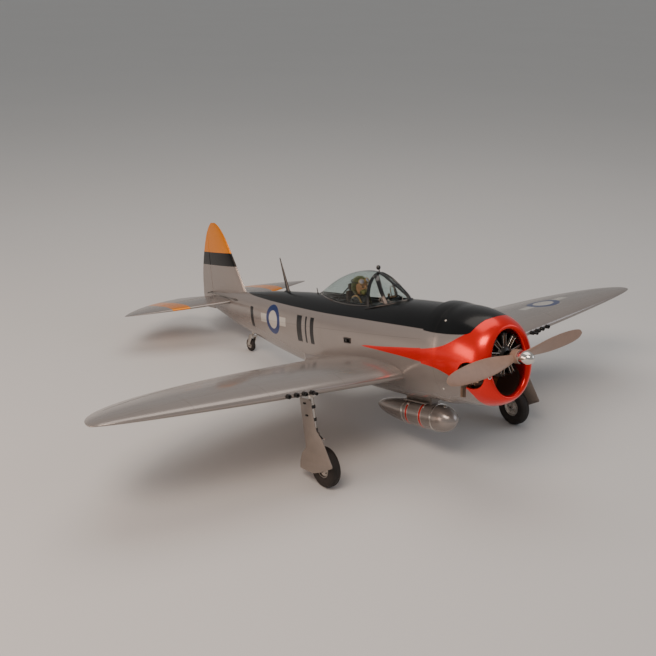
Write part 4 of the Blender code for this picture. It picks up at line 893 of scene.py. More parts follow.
def banded_tank():
    """Drop tank: gloss silver with two red bands, each edged in pale silver."""
    made, tree, shader, place = silver_film("banded_tank_film", 0.60, 0.2, 0.08)
    y, z = split(tree, place)[1:]
    colour = colours().silver
    half = sizes().band / 2
    edge = half + 0.0022
    for at in TANK_BANDS:
        colour = mixed(tree, between(tree, y, at - edge, at + edge), colour, linear("#cfc3ba"))
        colour = mixed(tree, between(tree, y, at - half, at + half), colour, colours().red)
    film(tree, shader, place, colour, [seam_at(tree, z, DRUM_Z)])
    return made


def instrument_face():
    """Instrument panel: matt black crackle with rings of pale dial marks."""
    made, tree, shader = start_finish("crackle_panel")
    place = level_place(tree)
    axes = split(tree, place)
    x, z = axes[0], axes[2]
    colour = linear("#17181a")
    crackle = noise(tree, place, 0.0006, 3.0)
    for centre in ((-0.0105, 0.0870), (0.0, 0.0885), (0.0105, 0.0870), (-0.0060, 0.0780),
                   (0.0060, 0.0780)):
        rim = disc(tree, x, z, centre, 0.0042)
        face = disc(tree, x, z, centre, 0.0034)
        colour = mixed(tree, rim, colour, linear("#8f8c86"))
        colour = mixed(tree, face, colour, linear("#0c0c0d"))
    tree.links.new(shaded(tree, colour, crackle, 0.85, 1.2), shader.inputs["Base Color"])
    tree.links.new(ranged(tree, crackle, 0.45, 0.7), shader.inputs["Roughness"])
    bumps(tree, shader, ((crackle, 0.4, 0.0001),))
    return made


def once(maker, *details, **settings):
    """A finish that is made on first use and shared after that."""
    kept = []

    def get():
        if not kept:
            kept.append(maker(*details, **settings))
        return kept[0]
    return get


def property_finish(name, key, **settings):
    """A plain finish whose colour comes from the panel."""
    return plain_finish(name, getattr(colours(), key), **settings)


TANK_BANDS = (0.2830, 0.3330)
FINISHES = {
    "body": once(body_film),
    "wing": once(wing_film),
    "tail": once(tail_film),
    "fin": once(fin_film),
    "tank": once(banded_tank),
    "glass": once(glazing),
    "dials": once(instrument_face),
    # gloss black lacquer of the canopy frames: deep, wet-looking highlights
    "black": once(property_finish, "gloss_black_lacquer", "black", rough=(0.10, 0.18),
                  grain=0.0015, bump=0.05, Coat_Weight=0.5, Coat_Roughness=0.05),
    # moulded black nylon of horns, clevises and guns: soft sheen on a fine spark texture
    "plastic": once(plain_finish, "moulded_black_nylon", linear("#141211"), (0.34, 0.48), 0.0004,
                    0.25),
    # glass-filled nylon of the propeller: satin taupe with a faint flow grain
    "nylon": once(property_finish, "propeller_nylon", "propeller", rough=(0.30, 0.42),
                  grain=0.0010, bump=0.12, Coat_Weight=0.15, Coat_Roughness=0.3),
    # cured tyre rubber: dull, dusty, almost black brown
    "rubber": once(property_finish, "tyre_rubber", "tyre", rough=(0.55, 0.75), grain=0.0006,
                   bump=0.35, tone=(0.75, 1.35)),
    # cast engine metal, sooty and unevenly toned
    "engine": once(plain_finish, "sooty_cast_alloy", linear("#5c534a"), (0.35, 0.6), 0.0008, 0.4,
                   (0.6, 1.2), Metallic=0.8),
    # black-painted cylinders of the dummy radial
    "radial": once(plain_finish, "stove_black_cylinders", linear("#16130f"), (0.28, 0.42), 0.0006,
                   0.2, (0.7, 1.3)),
    # baked oil on the exhaust
    "exhaust": once(plain_finish, "heat_tinted_steel", linear("#6a5a4d"), (0.28, 0.45), 0.0010,
                    0.3, (0.6, 1.4), Metallic=0.85),
    # turned and polished aluminium
    "polished": once(brushed_finish, "polished_aluminium", linear("#dcd8d2"), (0.10, 0.18),
                     (1.0, 12.0, 1.0)),
    # satin machined aluminium of struts and hubs
    "alloy": once(brushed_finish, "satin_aluminium", linear("#c9c3bc"), (0.24, 0.36)),
    # plated steel of pins, wires and screws
    "steel": once(brushed_finish, "plated_steel", linear("#b4b0aa"), (0.18, 0.30)),
    "door": once(plain_finish, "satin_door_paint", linear("#867d76"), (0.30, 0.42), 0.0008, 0.08,
                 (0.94, 1.05), Metallic=0.25, Coat_Weight=0.2),
    "ply": once(plain_finish, "birch_plywood", linear("#b9935f"), (0.6, 0.75), 0.0010, 0.3,
                (0.8, 1.15)),
    "fuel": once(plain_finish, "milky_tank_plastic", linear("#d8d2bd"), (0.3, 0.4), 0.0010, 0.1),
    "wrap": once(plain_finish, "shrink_wrap", linear("#1c3f86"), (0.2, 0.35), 0.0012, 0.2),
    "jacket": once(woven_finish, "dark_jacket_cloth", linear("#25262a"), 0.0009),
    "helmet": once(woven_finish, "olive_helmet_cloth", linear("#5a5a22"), 0.0008),
    "strap": once(woven_finish, "tan_webbing", linear("#b8904e"), 0.0007),
    "seat": once(plain_finish, "brown_seat_leather", linear("#3b2a20"), (0.4, 0.6), 0.0010, 0.4,
                 (0.6, 1.3)),
    # painted skin of the figure: warm, soft, slightly translucent
    "skin": once(plain_finish, "painted_skin", linear("#c08a5c"), (0.45, 0.6), 0.0012, 0.1,
                 (0.88, 1.08), Subsurface_Weight=0.08, Subsurface_Scale=0.002),
    "mask": once(plain_finish, "olive_mask_rubber", linear("#63602a"), (0.45, 0.6), 0.0008, 0.15,
                 (0.8, 1.2)),
    "lens": once(plain_finish, "tinted_goggle_lens", linear("#a79aa6"), (0.06, 0.12), 0.0010,
                 0.02, Coat_Weight=0.8, Coat_Roughness=0.03),
    "bronze": once(plain_finish, "brown_gunsight_paint", linear("#7a5a40"), (0.3, 0.45), 0.0006,
                   0.15, (0.7, 1.2), Metallic=0.3),
    "ink": once(plain_finish, "dark_paint", linear("#1a1614"), (0.35, 0.5), 0.0006, 0.05),
    "white": once(plain_finish, "white_nylon_screw", linear("#e6e2da"), (0.3, 0.4), 0.0004, 0.1),
}


# ---------------------------------------------------------------- sections of the aircraft
def frame_at(origin, across, along):
    """A placing whose local X runs across and whose local Y runs along."""
    first = Vector(across).normalized()
    third = first.cross(Vector(along)).normalized()
    second = third.cross(first)
    turn = Matrix((first, second, third)).transposed().to_4x4()
    return Matrix.Translation(Vector(origin)) @ turn


def spline(table, t):
    """Smooth values of a table at t: cubic pieces with finite-difference tangents."""
    last = len(table) - 1
    i = 0
    while i < last - 1 and t > table[i + 1][0]:
        i += 1
    before = table[max(i - 1, 0)]
    start = table[i]
    end = table[i + 1]
    after = table[min(i + 2, last)]
    width = end[0] - start[0]
    u = min(max((t - start[0]) / width, 0.0), 1.0)
    values = []
    for k in range(1, len(start)):
        slope_a = (end[k] - before[k]) / (end[0] - before[0])
        slope_b = (after[k] - start[k]) / (after[0] - start[0])
        h00 = 2 * u ** 3 - 3 * u ** 2 + 1
        h10 = u ** 3 - 2 * u ** 2 + u
        h01 = -2 * u ** 3 + 3 * u ** 2
        h11 = u ** 3 - u ** 2
        values.append(h00 * start[k] + h10 * width * slope_a + h01 * end[k]
                      + h11 * width * slope_b)
    return values


def oval(y, half, top, bottom, middle, grow=0.0, power=2.15):
    """One body section: a superellipse with unlike upper and lower halves."""
    ring = []
    for k in range(AROUND):
        angle = 2 * math.pi * k / AROUND
        across = math.copysign(abs(math.cos(angle)) ** (2 / power), math.cos(angle))
        rise = math.copysign(abs(math.sin(angle)) ** (2 / power), math.sin(angle))
        height = (top - middle if rise > 0 else middle - bottom) + grow
        ring.append(Vector(((half + grow) * across, y, middle + height * rise)))
    return ring


def body_rings(start, end, grow=0.0, steps=20):
    """Fuselage sections from one station to another, grown or shrunk evenly."""
    rings = []
    for k in range(steps + 1):
        y = start + (end - start) * k / steps
        rings.append(oval(y, *spline(FUSELAGE, y), grow=grow))
    return rings


def naca_ring(thickness, camber, points):
    """Unit airfoil as (chord fraction, height fraction, side) from the tail over the nose back."""
    ring = []
    for k in range(2 * points + 1):
        angle = math.pi * k / points
        u = 0.5 * (1 + math.cos(angle))
        side = 0 if k == points else math.copysign(1, points - k)
        half = 5 * thickness * (0.2969 * math.sqrt(u) - 0.1260 * u - 0.3516 * u ** 2
                                + 0.2843 * u ** 3 - 0.1036 * u ** 4)
        if u < CAMBER_POINT:
            mean = camber / CAMBER_POINT ** 2 * (2 * CAMBER_POINT * u - u ** 2)
        else:
            mean = camber / (1 - CAMBER_POINT) ** 2
            mean *= 1 - 2 * CAMBER_POINT + 2 * CAMBER_POINT * u - u ** 2
        ring.append((u, mean, side * half, side))
    return ring


def wing_plan(x):
    """Leading edge y, chord and edge heights of the wing at a distance from the centre."""
    swell = math.sqrt(max(1 - (x / HALF_SPAN) ** 2, 0.0))
    plane = WING_Z_AT_X[0] + DIHEDRAL_SLOPE * (x - WING_Z_AT_X[1])
    lead = TIP_Y - LEAD_SWELL * swell
    chord = (LEAD_SWELL + TRAIL_SWELL) * swell
    return lead, chord, plane + NOSE_RISE * swell, plane - TAIL_DROP * swell


def wing_ring(x, side, points=11):
    """The wing's section at a distance from the centre."""
    lead, chord, nose_z, tail_z = wing_plan(x)
    ring = []
    for u, mean, half, face in naca_ring(WING_THICKNESS, WING_CAMBER, points):
        edge = face * EDGE_HALF * u
        z = nose_z + (tail_z - nose_z) * u + (mean + half) * chord + edge
        ring.append(Vector((side * x, lead + chord * u, z)))
    return ring


def wing_middle_z(x, y):
    """Height of the wing's mean surface."""
    lead, chord, nose_z, tail_z = wing_plan(x)
    u = (y - lead) / chord
    rest = (1 - CAMBER_POINT) ** 2
    mean = WING_CAMBER / rest * (1 - 2 * CAMBER_POINT + 2 * CAMBER_POINT * u - u * u) * chord
    return nose_z + (tail_z - nose_z) * u + mean


def wing_loft(name, side, first=ROOT_X):
    """The whole uncut wing panel, with sections that crowd towards the tip."""
    rings = []
    for k in range(57):
        x = first + (HALF_SPAN - 0.0006 - first) * math.sin(math.pi / 2 * k / 56)
        rings.append(wing_ring(x, side, 34))
    return loft(name, rings)


def hinge_points(surface):
    """A wing surface's hinge line, from its inner to its outer end, on the left side."""
    ends = []
    for x, y in (surface["inner"], surface["outer"]):
        ends.append(Vector((x, y, wing_middle_z(x, y))))
    return ends


def hinge_prism(name, start, end, upper, lower, side, trim, front=0.0):
    """A prism behind a hinge line, with bevelled front faces that let the surface swing."""
    height = 0.030
    reach = 0.160
    outline = [(front, 0.0), (front + height * math.tan(math.radians(upper)), height),
               (reach, height), (reach, -height),
               (front + height * math.tan(math.radians(lower)), -height)]
    line = (end - start).normalized()
    rings = []
    for point in (start + line * trim, end - line * trim):
        back = Vector((0.0, 1.0, 0.0))
        back = (back - line * back.dot(line)).normalized()
        rise = line.cross(back)
        if rise.z < 0:
            rise.negate()
        rings.append([mirrored(side, point + back * u + rise * v) for u, v in outline])
    return loft(name, rings)


def square_to(start, end):
    """Directions in plan along a hinge line, outwards, and square to it, towards the tail."""
    along = Vector((end.x - start.x, end.y - start.y, 0.0)).normalized()
    return along, Vector((-along.y, along.x, 0.0))


def surface_horn(name, side, start, end, drop):
    """A control horn under a wing surface, a thin plate with its hole below the hinge."""
    point = start.lerp(end, 0.5)
    back = square_to(start, end)[1]
    outline = [(0.010, -0.004), (0.030, -0.004), (0.004, -drop - 0.003), (-0.004, -drop - 0.002)]
    frame = frame_at(mirrored(side, point), mirrored(side, back), UP)
    horn = plate(name, outline, 0.0016, frame)
    return horn, mirrored(side, point - UP * drop)


def stowed_box(name, side, low, high):
    """A box drawn beside the lowered leg, then swung to the stowed position to cut the wing."""
    made = box(name, low, high)
    made.data.transform(STOW)
    if side < 0:
        made.data.transform(Matrix.Diagonal((-1.0, 1.0, 1.0, 1.0)))
        made.data.flip_normals()
    return made


def gear_cutters(side, word):
    """The wheel well, leg channel, link pocket, pivot chamber and door recess."""
    outside = 0.060
    well = rod(f"well_{word}", (WHEEL.x - WHEEL_HALF - 0.003, WHEEL.y, WHEEL.z),
               (WHEEL.x + outside, WHEEL.y, WHEEL.z), 0.0505, 64)
    well.data.transform(STOW)
    if side < 0:
        well.data.transform(Matrix.Diagonal((-1.0, 1.0, 1.0, 1.0)))
        well.data.flip_normals()
    leg_low = (PIVOT.x - 0.0095, PIVOT.y - 0.0125, WHEEL.z + 0.020)
    leg_high = (PIVOT.x + outside, PIVOT.y + 0.0125, PIVOT.z + 0.004)
    channel = stowed_box(f"channel_{word}", side, leg_low, leg_high)
    link_low = (PIVOT.x - 0.0080, PIVOT.y - 0.0350, -0.180)
    link_high = (PIVOT.x + outside, PIVOT.y, -0.136)
    pocket = stowed_box(f"link_pocket_{word}", side, link_low, link_high)
    axis = mirrored(side, GEAR_AXIS)
    middle = mirrored(side, PIVOT)
    chamber = rod(f"chamber_{word}", middle - axis * 0.0150, middle + axis * 0.0150, 0.0135,
                  28)
    grown = door_outline(0.0022)
    recess = plate(f"door_recess_{word}", grown, 0.0160,
                   Matrix.Translation((DOOR_X - 0.0010 + 0.0080, 0, 0)) @ DOOR_FRAME)
    recess.data.transform(STOW)
    if side < 0:
        recess.data.transform(Matrix.Diagonal((-1.0, 1.0, 1.0, 1.0)))
        recess.data.flip_normals()
    return well, channel, pocket, chamber, recess


def door_outline(grow):
    """The door's outline, moved outwards from its middle by about the given amount."""
    middle_y = sum(point[0] for point in DOOR) / len(DOOR)
    middle_z = sum(point[1] for point in DOOR) / len(DOOR)
    outline = []
    for y, z in DOOR:
        away = Vector((y - middle_y, z - middle_z))
        moved = away + away.normalized() * grow * 1.4
        outline.append((middle_y + moved.x, middle_z + moved.y))
    return outline


def blade_ring(radius, chord, angle, thick, lift, count=10):
    """One propeller blade section, twisted to its pitch."""
    ring = []
    for k in range(count):
        turn = 2 * math.pi * k / count
        across = 0.5 * chord * math.cos(turn)
        depth = 0.5 * thick * math.sin(turn)
        rise = across * math.cos(angle) + depth * math.sin(angle)
        ahead = -across * math.sin(angle) + depth * math.cos(angle)
        ring.append(Vector((radius, ahead, rise + lift)))
    return ring


def canopy_ring(y, half, height, foot, count=13):
    """An arch across the cockpit, closed by a straight foot line inside the body."""
    ring = []
    for k in range(count):
        angle = math.pi * k / (count - 1)
        across = math.copysign(abs(math.cos(angle)) ** 0.85, math.cos(angle))
        ring.append(Vector((half * across, y, foot + (height - foot) * math.sin(angle) ** 0.9)))
    return ring


def stab_ring(x, side, grow=0.0, points=8):
    """A symmetrical section of the horizontal tail."""
    nearest = STAB[0][0]
    lead, trail = spline(STAB, max(x, nearest))
    chord = trail - lead
    ring = []
    for u, _, half, face in naca_ring(STAB_THICKNESS, 0.0, points):
        edge = face * (EDGE_HALF * u + grow)
        y = lead - grow + (chord + 2 * grow) * u
        ring.append(Vector((side * x, y, STAB_Z + half * chord + edge)))
    return ring


def stab_loft(name, side, grow=0.0, first=0.0006):
    """The whole uncut tailplane half."""
    tip = STAB[-1][0] - 0.0010
    stations = [first + (tip - first) * math.sin(math.pi / 2 * k / 40) for k in range(41)]
    return loft(name, [stab_ring(x, side, grow, 24) for x in stations])


def fin_ring(z, grow=0.0, points=8):
    """A symmetrical section of the fin and rudder together."""
    lead, trail = spline(FIN, z)
    chord = trail - lead
    ring = []
    for u, _, half, face in naca_ring(FIN_THICKNESS, 0.0, points):
        edge = face * (EDGE_HALF * u + grow)
        ring.append(Vector((half * chord * 0.92 + edge, lead - grow + (chord + 2 * grow) * u, z)))
    return ring


def fin_loft(name, grow, bottom):
    """The whole uncut fin and rudder from a given height up."""
    top = FIN[-1][0] - 0.0005
    stations = [bottom + (top - bottom) * math.sin(math.pi / 2 * k / 40) for k in range(41)]
    return loft(name, [fin_ring(z, grow, 24) for z in stations])


def fairing_ring(x, side):
    """A section of the wing-root fairing, swelling from the wing into the body."""
    swell = 0.018 * min(1.0, (ROOT_X - GAP - x) / 0.032) ** 2
    lead, chord, nose_z, tail_z = wing_plan(x)
    ring = []
    for u, mean, half, face in naca_ring(WING_THICKNESS, WING_CAMBER, 34):
        lift = face * (EDGE_HALF * u + swell * (0.30 + 0.70 * u))
        z = nose_z + (tail_z - nose_z) * u + (mean + half) * chord + lift
        y = lead - 0.25 * swell + (chord + 2.4 * swell) * u
        ring.append(Vector((side * x, y, z)))
    return ring


def resampled(table, count):
    """A table of stations as a finer one, through the same places."""
    rows = [(k, *row) for k, row in enumerate(table)]
    last = len(table) - 1
    return [spline(rows, last * k / count) for k in range(count + 1)]


# ---------------------------------------------------------------- repeated fittings
def spread(name, points, normals, shape, finish):
    """Geometry Nodes: one copy of a fitting at each point, turned to the surface there."""
    mesh = bpy.data.meshes.new(name)
    mesh.from_pydata([tuple(point) for point in points], [], [])
    attribute = mesh.attributes.new("facing", "FLOAT_VECTOR", "POINT")
    for item, normal in zip(attribute.data, normals):
        item.vector = Vector(normal).normalized()
    holder = bpy.data.objects.new("bench_" + name, mesh)
    BENCH.objects.link(holder)
    tree = bpy.data.node_groups.new(name + "_nodes", "GeometryNodeTree")
    tree.interface.new_socket("Points", in_out="INPUT", socket_type="NodeSocketGeometry")
    wanted = tree.interface.new_socket("Fitting", in_out="INPUT", socket_type="NodeSocketObject")
    coat = tree.interface.new_socket("Finish", in_out="INPUT", socket_type="NodeSocketMaterial")
    tree.interface.new_socket("Fittings", in_out="OUTPUT", socket_type="NodeSocketGeometry")
    entry = add_node(tree, "NodeGroupInput")
    info = add_node(tree, "GeometryNodeObjectInfo", {"Object": entry.outputs["Fitting"]})
    facing = add_node(tree, "GeometryNodeInputNamedAttribute", {"Name": "facing"},
                      data_type="FLOAT_VECTOR")
    turn = add_node(tree, "FunctionNodeAlignRotationToVector",
                    {"Vector": facing.outputs[0]}, axis="Z")
    copies = add_node(tree, "GeometryNodeInstanceOnPoints", {
        "Points": entry.outputs["Points"], "Instance": info.outputs["Geometry"],
        "Rotation": turn.outputs[0]})
    real = add_node(tree, "GeometryNodeRealizeInstances", {"Geometry": copies.outputs[0]})
    painted = add_node(tree, "GeometryNodeSetMaterial", {
        "Geometry": real.outputs[0], "Material": entry.outputs["Finish"]})
    add_node(tree, "NodeGroupOutput", {"Fittings": painted.outputs[0]})
    modifier = holder.modifiers.new("fittings", "NODES")
    modifier.node_group = tree
    modifier[wanted.identifier] = shape
    modifier[coat.identifier] = FINISHES[finish]()
    made = evaluated(holder)
    holder.modifiers.remove(modifier)
    result = bpy.data.objects.new("bench_" + name + "_made", made)
    BENCH.objects.link(result)
    return result


def screw(name, radius, slots=6):
    """A cap screw standing on the origin, with a socket in its head."""
    height = radius * 0.70
    profile = rounded([(0.0, -height), (radius, -height), (radius, height), (radius * 0.55, height),
                       (radius * 0.50, height * 0.2), (0.0, height * 0.2)], 3, 0.25)
    head = lathe(name, profile, (0, 0, 0), (0, 0, 1), 24)
    key = rod(name + "_key", (0, 0, height * 0.1), (0, 0, height * 1.4), radius * 0.5, slots)
    return cut(head, key)


def facing_out(place):
    """Direction away from the body's centre line at a place on its skin."""
    middle = -0.01
    return Vector((place.x, 0.0, (place.z - middle) * 0.9)).normalized()


# ---------------------------------------------------------------- builders
def make_body():
    """Fuselage shell with cockpit opening, wing-root fairings and slots."""
    body = loft("body", body_rings(0.150, 1.262, steps=120))
    xs = [0.050 + (ROOT_X - GAP - 0.050) * k / 20 for k in range(21)]
    for side in (1, -1):
        add(body, loft(f"fairing_{side}", [fairing_ring(x, side) for x in xs]))
    cavity = loft("body_cavity", body_rings(0.140, CAVITY_END, -SKIN, 30))
    cut(body, cavity)
    opening = loft("cockpit_opening", [
        [Vector((0.0365 * math.cos(a), 0.4920 + 0.160 * math.sin(a), z)) for a in
         [2 * math.pi * k / 64 for k in range(64)]] for z in (0.045, 0.130)])
    slots = [loft(f"stab_slot_{side}", [stab_ring(x, side, 0.0005, 24) for x in (0.0, 0.03, 0.06)])
             for side in (1, -1)]
    post = TAIL_POST
    bore = rod("tail_post_bore", (0, post.y, -0.090), (0, post.y, -0.0220), 0.0046)
    lift = rod("elevator_rod_bore", ELEVATOR_ROD[0], ELEVATOR_ROD[1], 0.0032)
    swing = rod("rudder_rod_bore", RUDDER_ROD[0], RUDDER_ROD[1], 0.0032)
    switch = box("switch_slot", (-0.100, 0.4560, -0.0045), (-0.060, 0.4780, 0.0045))
    tube = rod("tube_bore", (-0.10, TUBE_Y, TUBE_Z), (0.10, TUBE_Y, TUBE_Z), TUBE_R + GAP)
    cut(body, opening, *slots, fin_loft("fin_slot", 0.0010, FIN_BASE_Z - GAP), bore, lift, swing,
        switch, tube)
    surround = box("switch_plate", (-0.0857, 0.4540, -0.0065), (-0.0835, 0.4800, 0.0065), 0.0008)
    cut(surround, box("switch_gap", (-0.10, 0.4570, -0.0040), (-0.07, 0.4770, 0.0040)))
    piece("fuselage_shell", [(body, "body"), (surround, "plastic")], "airframe", ["fuselage"],
          40.0)
    lever = box("lever", (-0.0880, 0.4635, -0.0030), (-0.0740, 0.4705, 0.0030), 0.0006)
    piece("switch_lever", [(lever, "plastic")], "power_switch", ["power_switch"])


def make_cowl():
    """Cowl with its rolled lip, exhaust opening and fixing screws."""
    rings = [oval(*station, power=2.08) for station in resampled(COWL, 132)]
    cowl = loft("cowl", rings)
    hole = rod("cowl_side_hole", (-0.130, 0.037, -0.032), (-0.050, 0.037, -0.032), 0.0300, 64)
    cut(cowl, hole)
    places = [mirrored(side, Vector(spot)) for spot in ((0.0606, 0.1234, 0.0745),
                                                        (0.0790, 0.128, -0.0730))
              for side in (1, -1)]
    facing = [facing_out(place) for place in places]
    heads = spread("cowl_screws", places, facing, screw("cowl_screw", sizes().screw_head / 2),
                   "white")
    piece("cowl_shell", [(cowl, "body"), (heads, "white")], "airframe", ["cowl"], 50.0)


def make_wing(side, word):
    """One wing panel with its flap, aileron, gun strip, wells and linkages."""
    wing = wing_loft(f"wing_{word}", side)
    for label, surface, drop in (("flap", FLAP, 0.026), ("aileron", AILERON, 0.022)):
        start, end = hinge_points(surface)
        bay = hinge_prism(f"{label}_bay_{word}", start, end, 0.0, 0.0, side, 0.0, -HINGE_GAP)
        cut(wing, bay)
        moving = wing_loft(f"{label}_{word}", side)
        prism = hinge_prism(f"{label}_prism_{word}", start, end, surface["upper"],
                            surface["lower"], side, HINGE_GAP)
        keep(moving, prism)
        horn, low = surface_horn(f"{label}_horn_{word}", side, start, end, drop)
        run, back = square_to(start, end)
        front = low - mirrored(side, back) * ROD_REACH + UP * ROD_RISE
        aside = mirrored(side, run) * 0.0030
        along = (front - low).normalized()
        bar = rod(f"{label}_rod_{word}", front + aside, low + aside, 0.0011, 20)
        clevis = rod(f"{label}_clevis_{word}", low + aside + along * 0.016, low + aside, 0.0019,
                     20, soft=0.0005)
        pin = rod(f"{label}_pin_{word}", low - aside * 0.5, low + aside * 1.5, 0.0007, 16)
        piece(f"{label}_{word}_surface", [(moving, "wing"), (horn, "plastic")],
              f"{label}_{word}", [f"{label}_{word}"])
        piece(f"{label}_{word}_link", [(bar, "steel"), (clevis, "plastic"), (pin, "steel")],
              f"{label}_pushrod_{word}", [f"{label}_pushrod_{word}"])
        pocket = box(f"{label}_pocket_{word}", front + Vector((-0.020, -0.026, -0.004)),
                     front + Vector((0.020, 0.028, 0.009)))
        opening = box(f"{label}_slot_{word}", front + Vector((-0.016, -0.012, -0.030)),
                      front + Vector((0.016, 0.030, 0.0)))
        cut(wing, opening, pocket)
    low_x, high_x = GUN_X[0] - 0.010, GUN_X[-1] + 0.010
    corner = Vector((min(side * low_x, side * high_x), 0.20, -0.10))
    far = Vector((max(side * low_x, side * high_x), 0.2870, 0.02))
    grown = Vector((GAP, GAP, GAP)) / 3
    cut(wing, box(f"gun_bay_{word}", corner - grown, far + grown))
    strip = wing_loft(f"gun_strip_{word}", side)
    keep(strip, box(f"gun_box_{word}", corner, far))
    guns = [(strip, "wing")]
    for index, (x, muzzle) in enumerate(zip(GUN_X, GUN_MUZZLE_Y)):
        lead = wing_plan(x)[0]
        place = mirrored(side, (x, 0.0, wing_plan(x)[2] - 0.0015))
        sleeve = [(0.0, lead + 0.012), (0.0052, lead + 0.012), (0.0052, lead - 0.0075),
                  (0.0038, lead - 0.0082), (0.0026, lead - 0.0082)]
        barrel = [(0.0038, muzzle + 0.0006), (0.0034, muzzle), (0.0024, muzzle),
                  (0.0015, muzzle + 0.0040), (0.0, muzzle + 0.0042)]
        guns.append((lathe(f"gun_{word}_{index}", sleeve + barrel, place, (0, 1, 0), 28),
                     "plastic"))
    piece(f"gun_barrels_{word}_set", guns, "airframe", [f"gun_barrels_{word}"])
    tube = rod(f"tube_bore_{word}", (side * 0.05, TUBE_Y, TUBE_Z),
               (side * (TUBE_HALF + 0.001), TUBE_Y, TUBE_Z), TUBE_R + GAP)
    cut(wing, tube, *gear_cutters(side, word))
    piece(f"wing_{word}_panel", [(wing, "wing")], "airframe", [f"wing_{word}"])


def make_tailplane(side, word):
    """A stabiliser half and its elevator, with a horn under the left one."""
    stab = stab_loft(f"stab_{word}", side)
    start = Vector((0.0, TAIL_HINGE_Y, STAB_Z))
    end = Vector((ELEVATOR_X[1], TAIL_HINGE_Y, STAB_Z))
    bay = hinge_prism(f"elevator_bay_{word}", start - Vector((0.01, 0, 0)),
                      end + Vector((HINGE_GAP, 0, 0)), 0.0, 0.0, side, 0.0, -HINGE_GAP)
    cut(stab, bay)
    elevator = stab_loft(f"elevator_{word}", side)
    keep(elevator, hinge_prism(f"elevator_prism_{word}", start, end, ELEVATOR_BEVEL,
                               ELEVATOR_BEVEL, side, 0.0))
    inner = ELEVATOR_X[0]
    far = 0.20
    wedge = [(-0.02, TAIL_HINGE_Y - 0.02), (inner, TAIL_HINGE_Y - 0.02), (inner, TAIL_HINGE_Y),
             (inner + ELEVATOR_RAKE * far, TAIL_HINGE_Y + far), (-0.02, TAIL_HINGE_Y + far)]
    rings = [[mirrored(side, (x, y, z)) for x, y in wedge] for z in (0.0, 0.08)]
    cut(elevator, loft(f"elevator_cutout_{word}", rings))
    shown = [(elevator, "tail")]
    if side > 0:
        outline = [(0.010, -0.0015), (0.022, -0.0015), (0.003, -0.0245), (-0.004, -0.0240)]
        placing = frame_at((0.0238, TAIL_HINGE_Y, STAB_Z), (0, 1, 0), UP)
        shown.append((plate("elevator_horn", outline, 0.0016, placing), "plastic"))
    piece(f"stabiliser_{word}_skin", [(stab, "tail")], "airframe", [f"stabiliser_{word}"])
    piece(f"elevator_{word}_skin", shown, f"elevator_{word}", [f"elevator_{word}"])


def make_fin():
    """The fin, the rudder behind it and the rudder's horn."""
    fin = fin_loft("fin", 0.0, FIN_BASE_Z)
    reach = 0.150
    wide = 0.030
    bevel = wide * math.tan(math.radians(32.0))
    front = TAIL_HINGE_Y - HINGE_GAP
    cut(fin, box("rudder_bay", (-wide, front, -0.02), (wide, front + reach,
                                                     RUDDER_TOP_Z + HINGE_GAP)))
    rudder = fin_loft("rudder", 0.0, 0.002)
    outline = [(0.0, TAIL_HINGE_Y), (wide, TAIL_HINGE_Y + bevel), (wide, TAIL_HINGE_Y + reach),
               (-wide, TAIL_HINGE_Y + reach), (-wide, TAIL_HINGE_Y + bevel)]
    rings = [[Vector((x, y, z)) for x, y in outline] for z in (-0.008, RUDDER_TOP_Z)]
    keep(rudder, loft("rudder_prism", rings))
    horn = [(-0.003, TAIL_HINGE_Y + 0.0170), (-0.003, TAIL_HINGE_Y + 0.0060),
            (-0.0220, TAIL_HINGE_Y - 0.0040), (-0.0260, TAIL_HINGE_Y + 0.0030)]
    arm = plate("rudder_horn", horn, 0.0016, frame_at((0, 0, 0.0536), (1, 0, 0), (0, 1, 0)))
    piece("fin_skin", [(fin, "fin")], "airframe", ["fin"])
    piece("rudder_skin", [(rudder, "fin"), (arm, "plastic")], "rudder", ["rudder"])


# ---------------------------------------------------------------- nose
def smooth_blade(turn):
    """One propeller blade with many fine sections."""
    rings = [blade_ring(r, chord, math.radians(angle), thick, 0.0, 36)
             for r, chord, angle, thick in blade_stations()]
    blade = loft(f"blade_{turn:.0f}", rings)
    blade.data.transform(Matrix.Rotation(turn - PROP_TILT, 4, "Y"))
    blade.data.transform(Matrix.Translation((0, PROP_Y, 0)))
    return blade


def blade_stations():
    """Radius, chord, pitch and thickness of a blade at even steps."""
    first, last = BLADE[0][0], BLADE[-1][0]
    steps = 44
    stations = []
    for k in range(steps + 1):
        r = first + (last - first) * k / steps
        stations.append((r, *spline(BLADE, r)))
    return stations


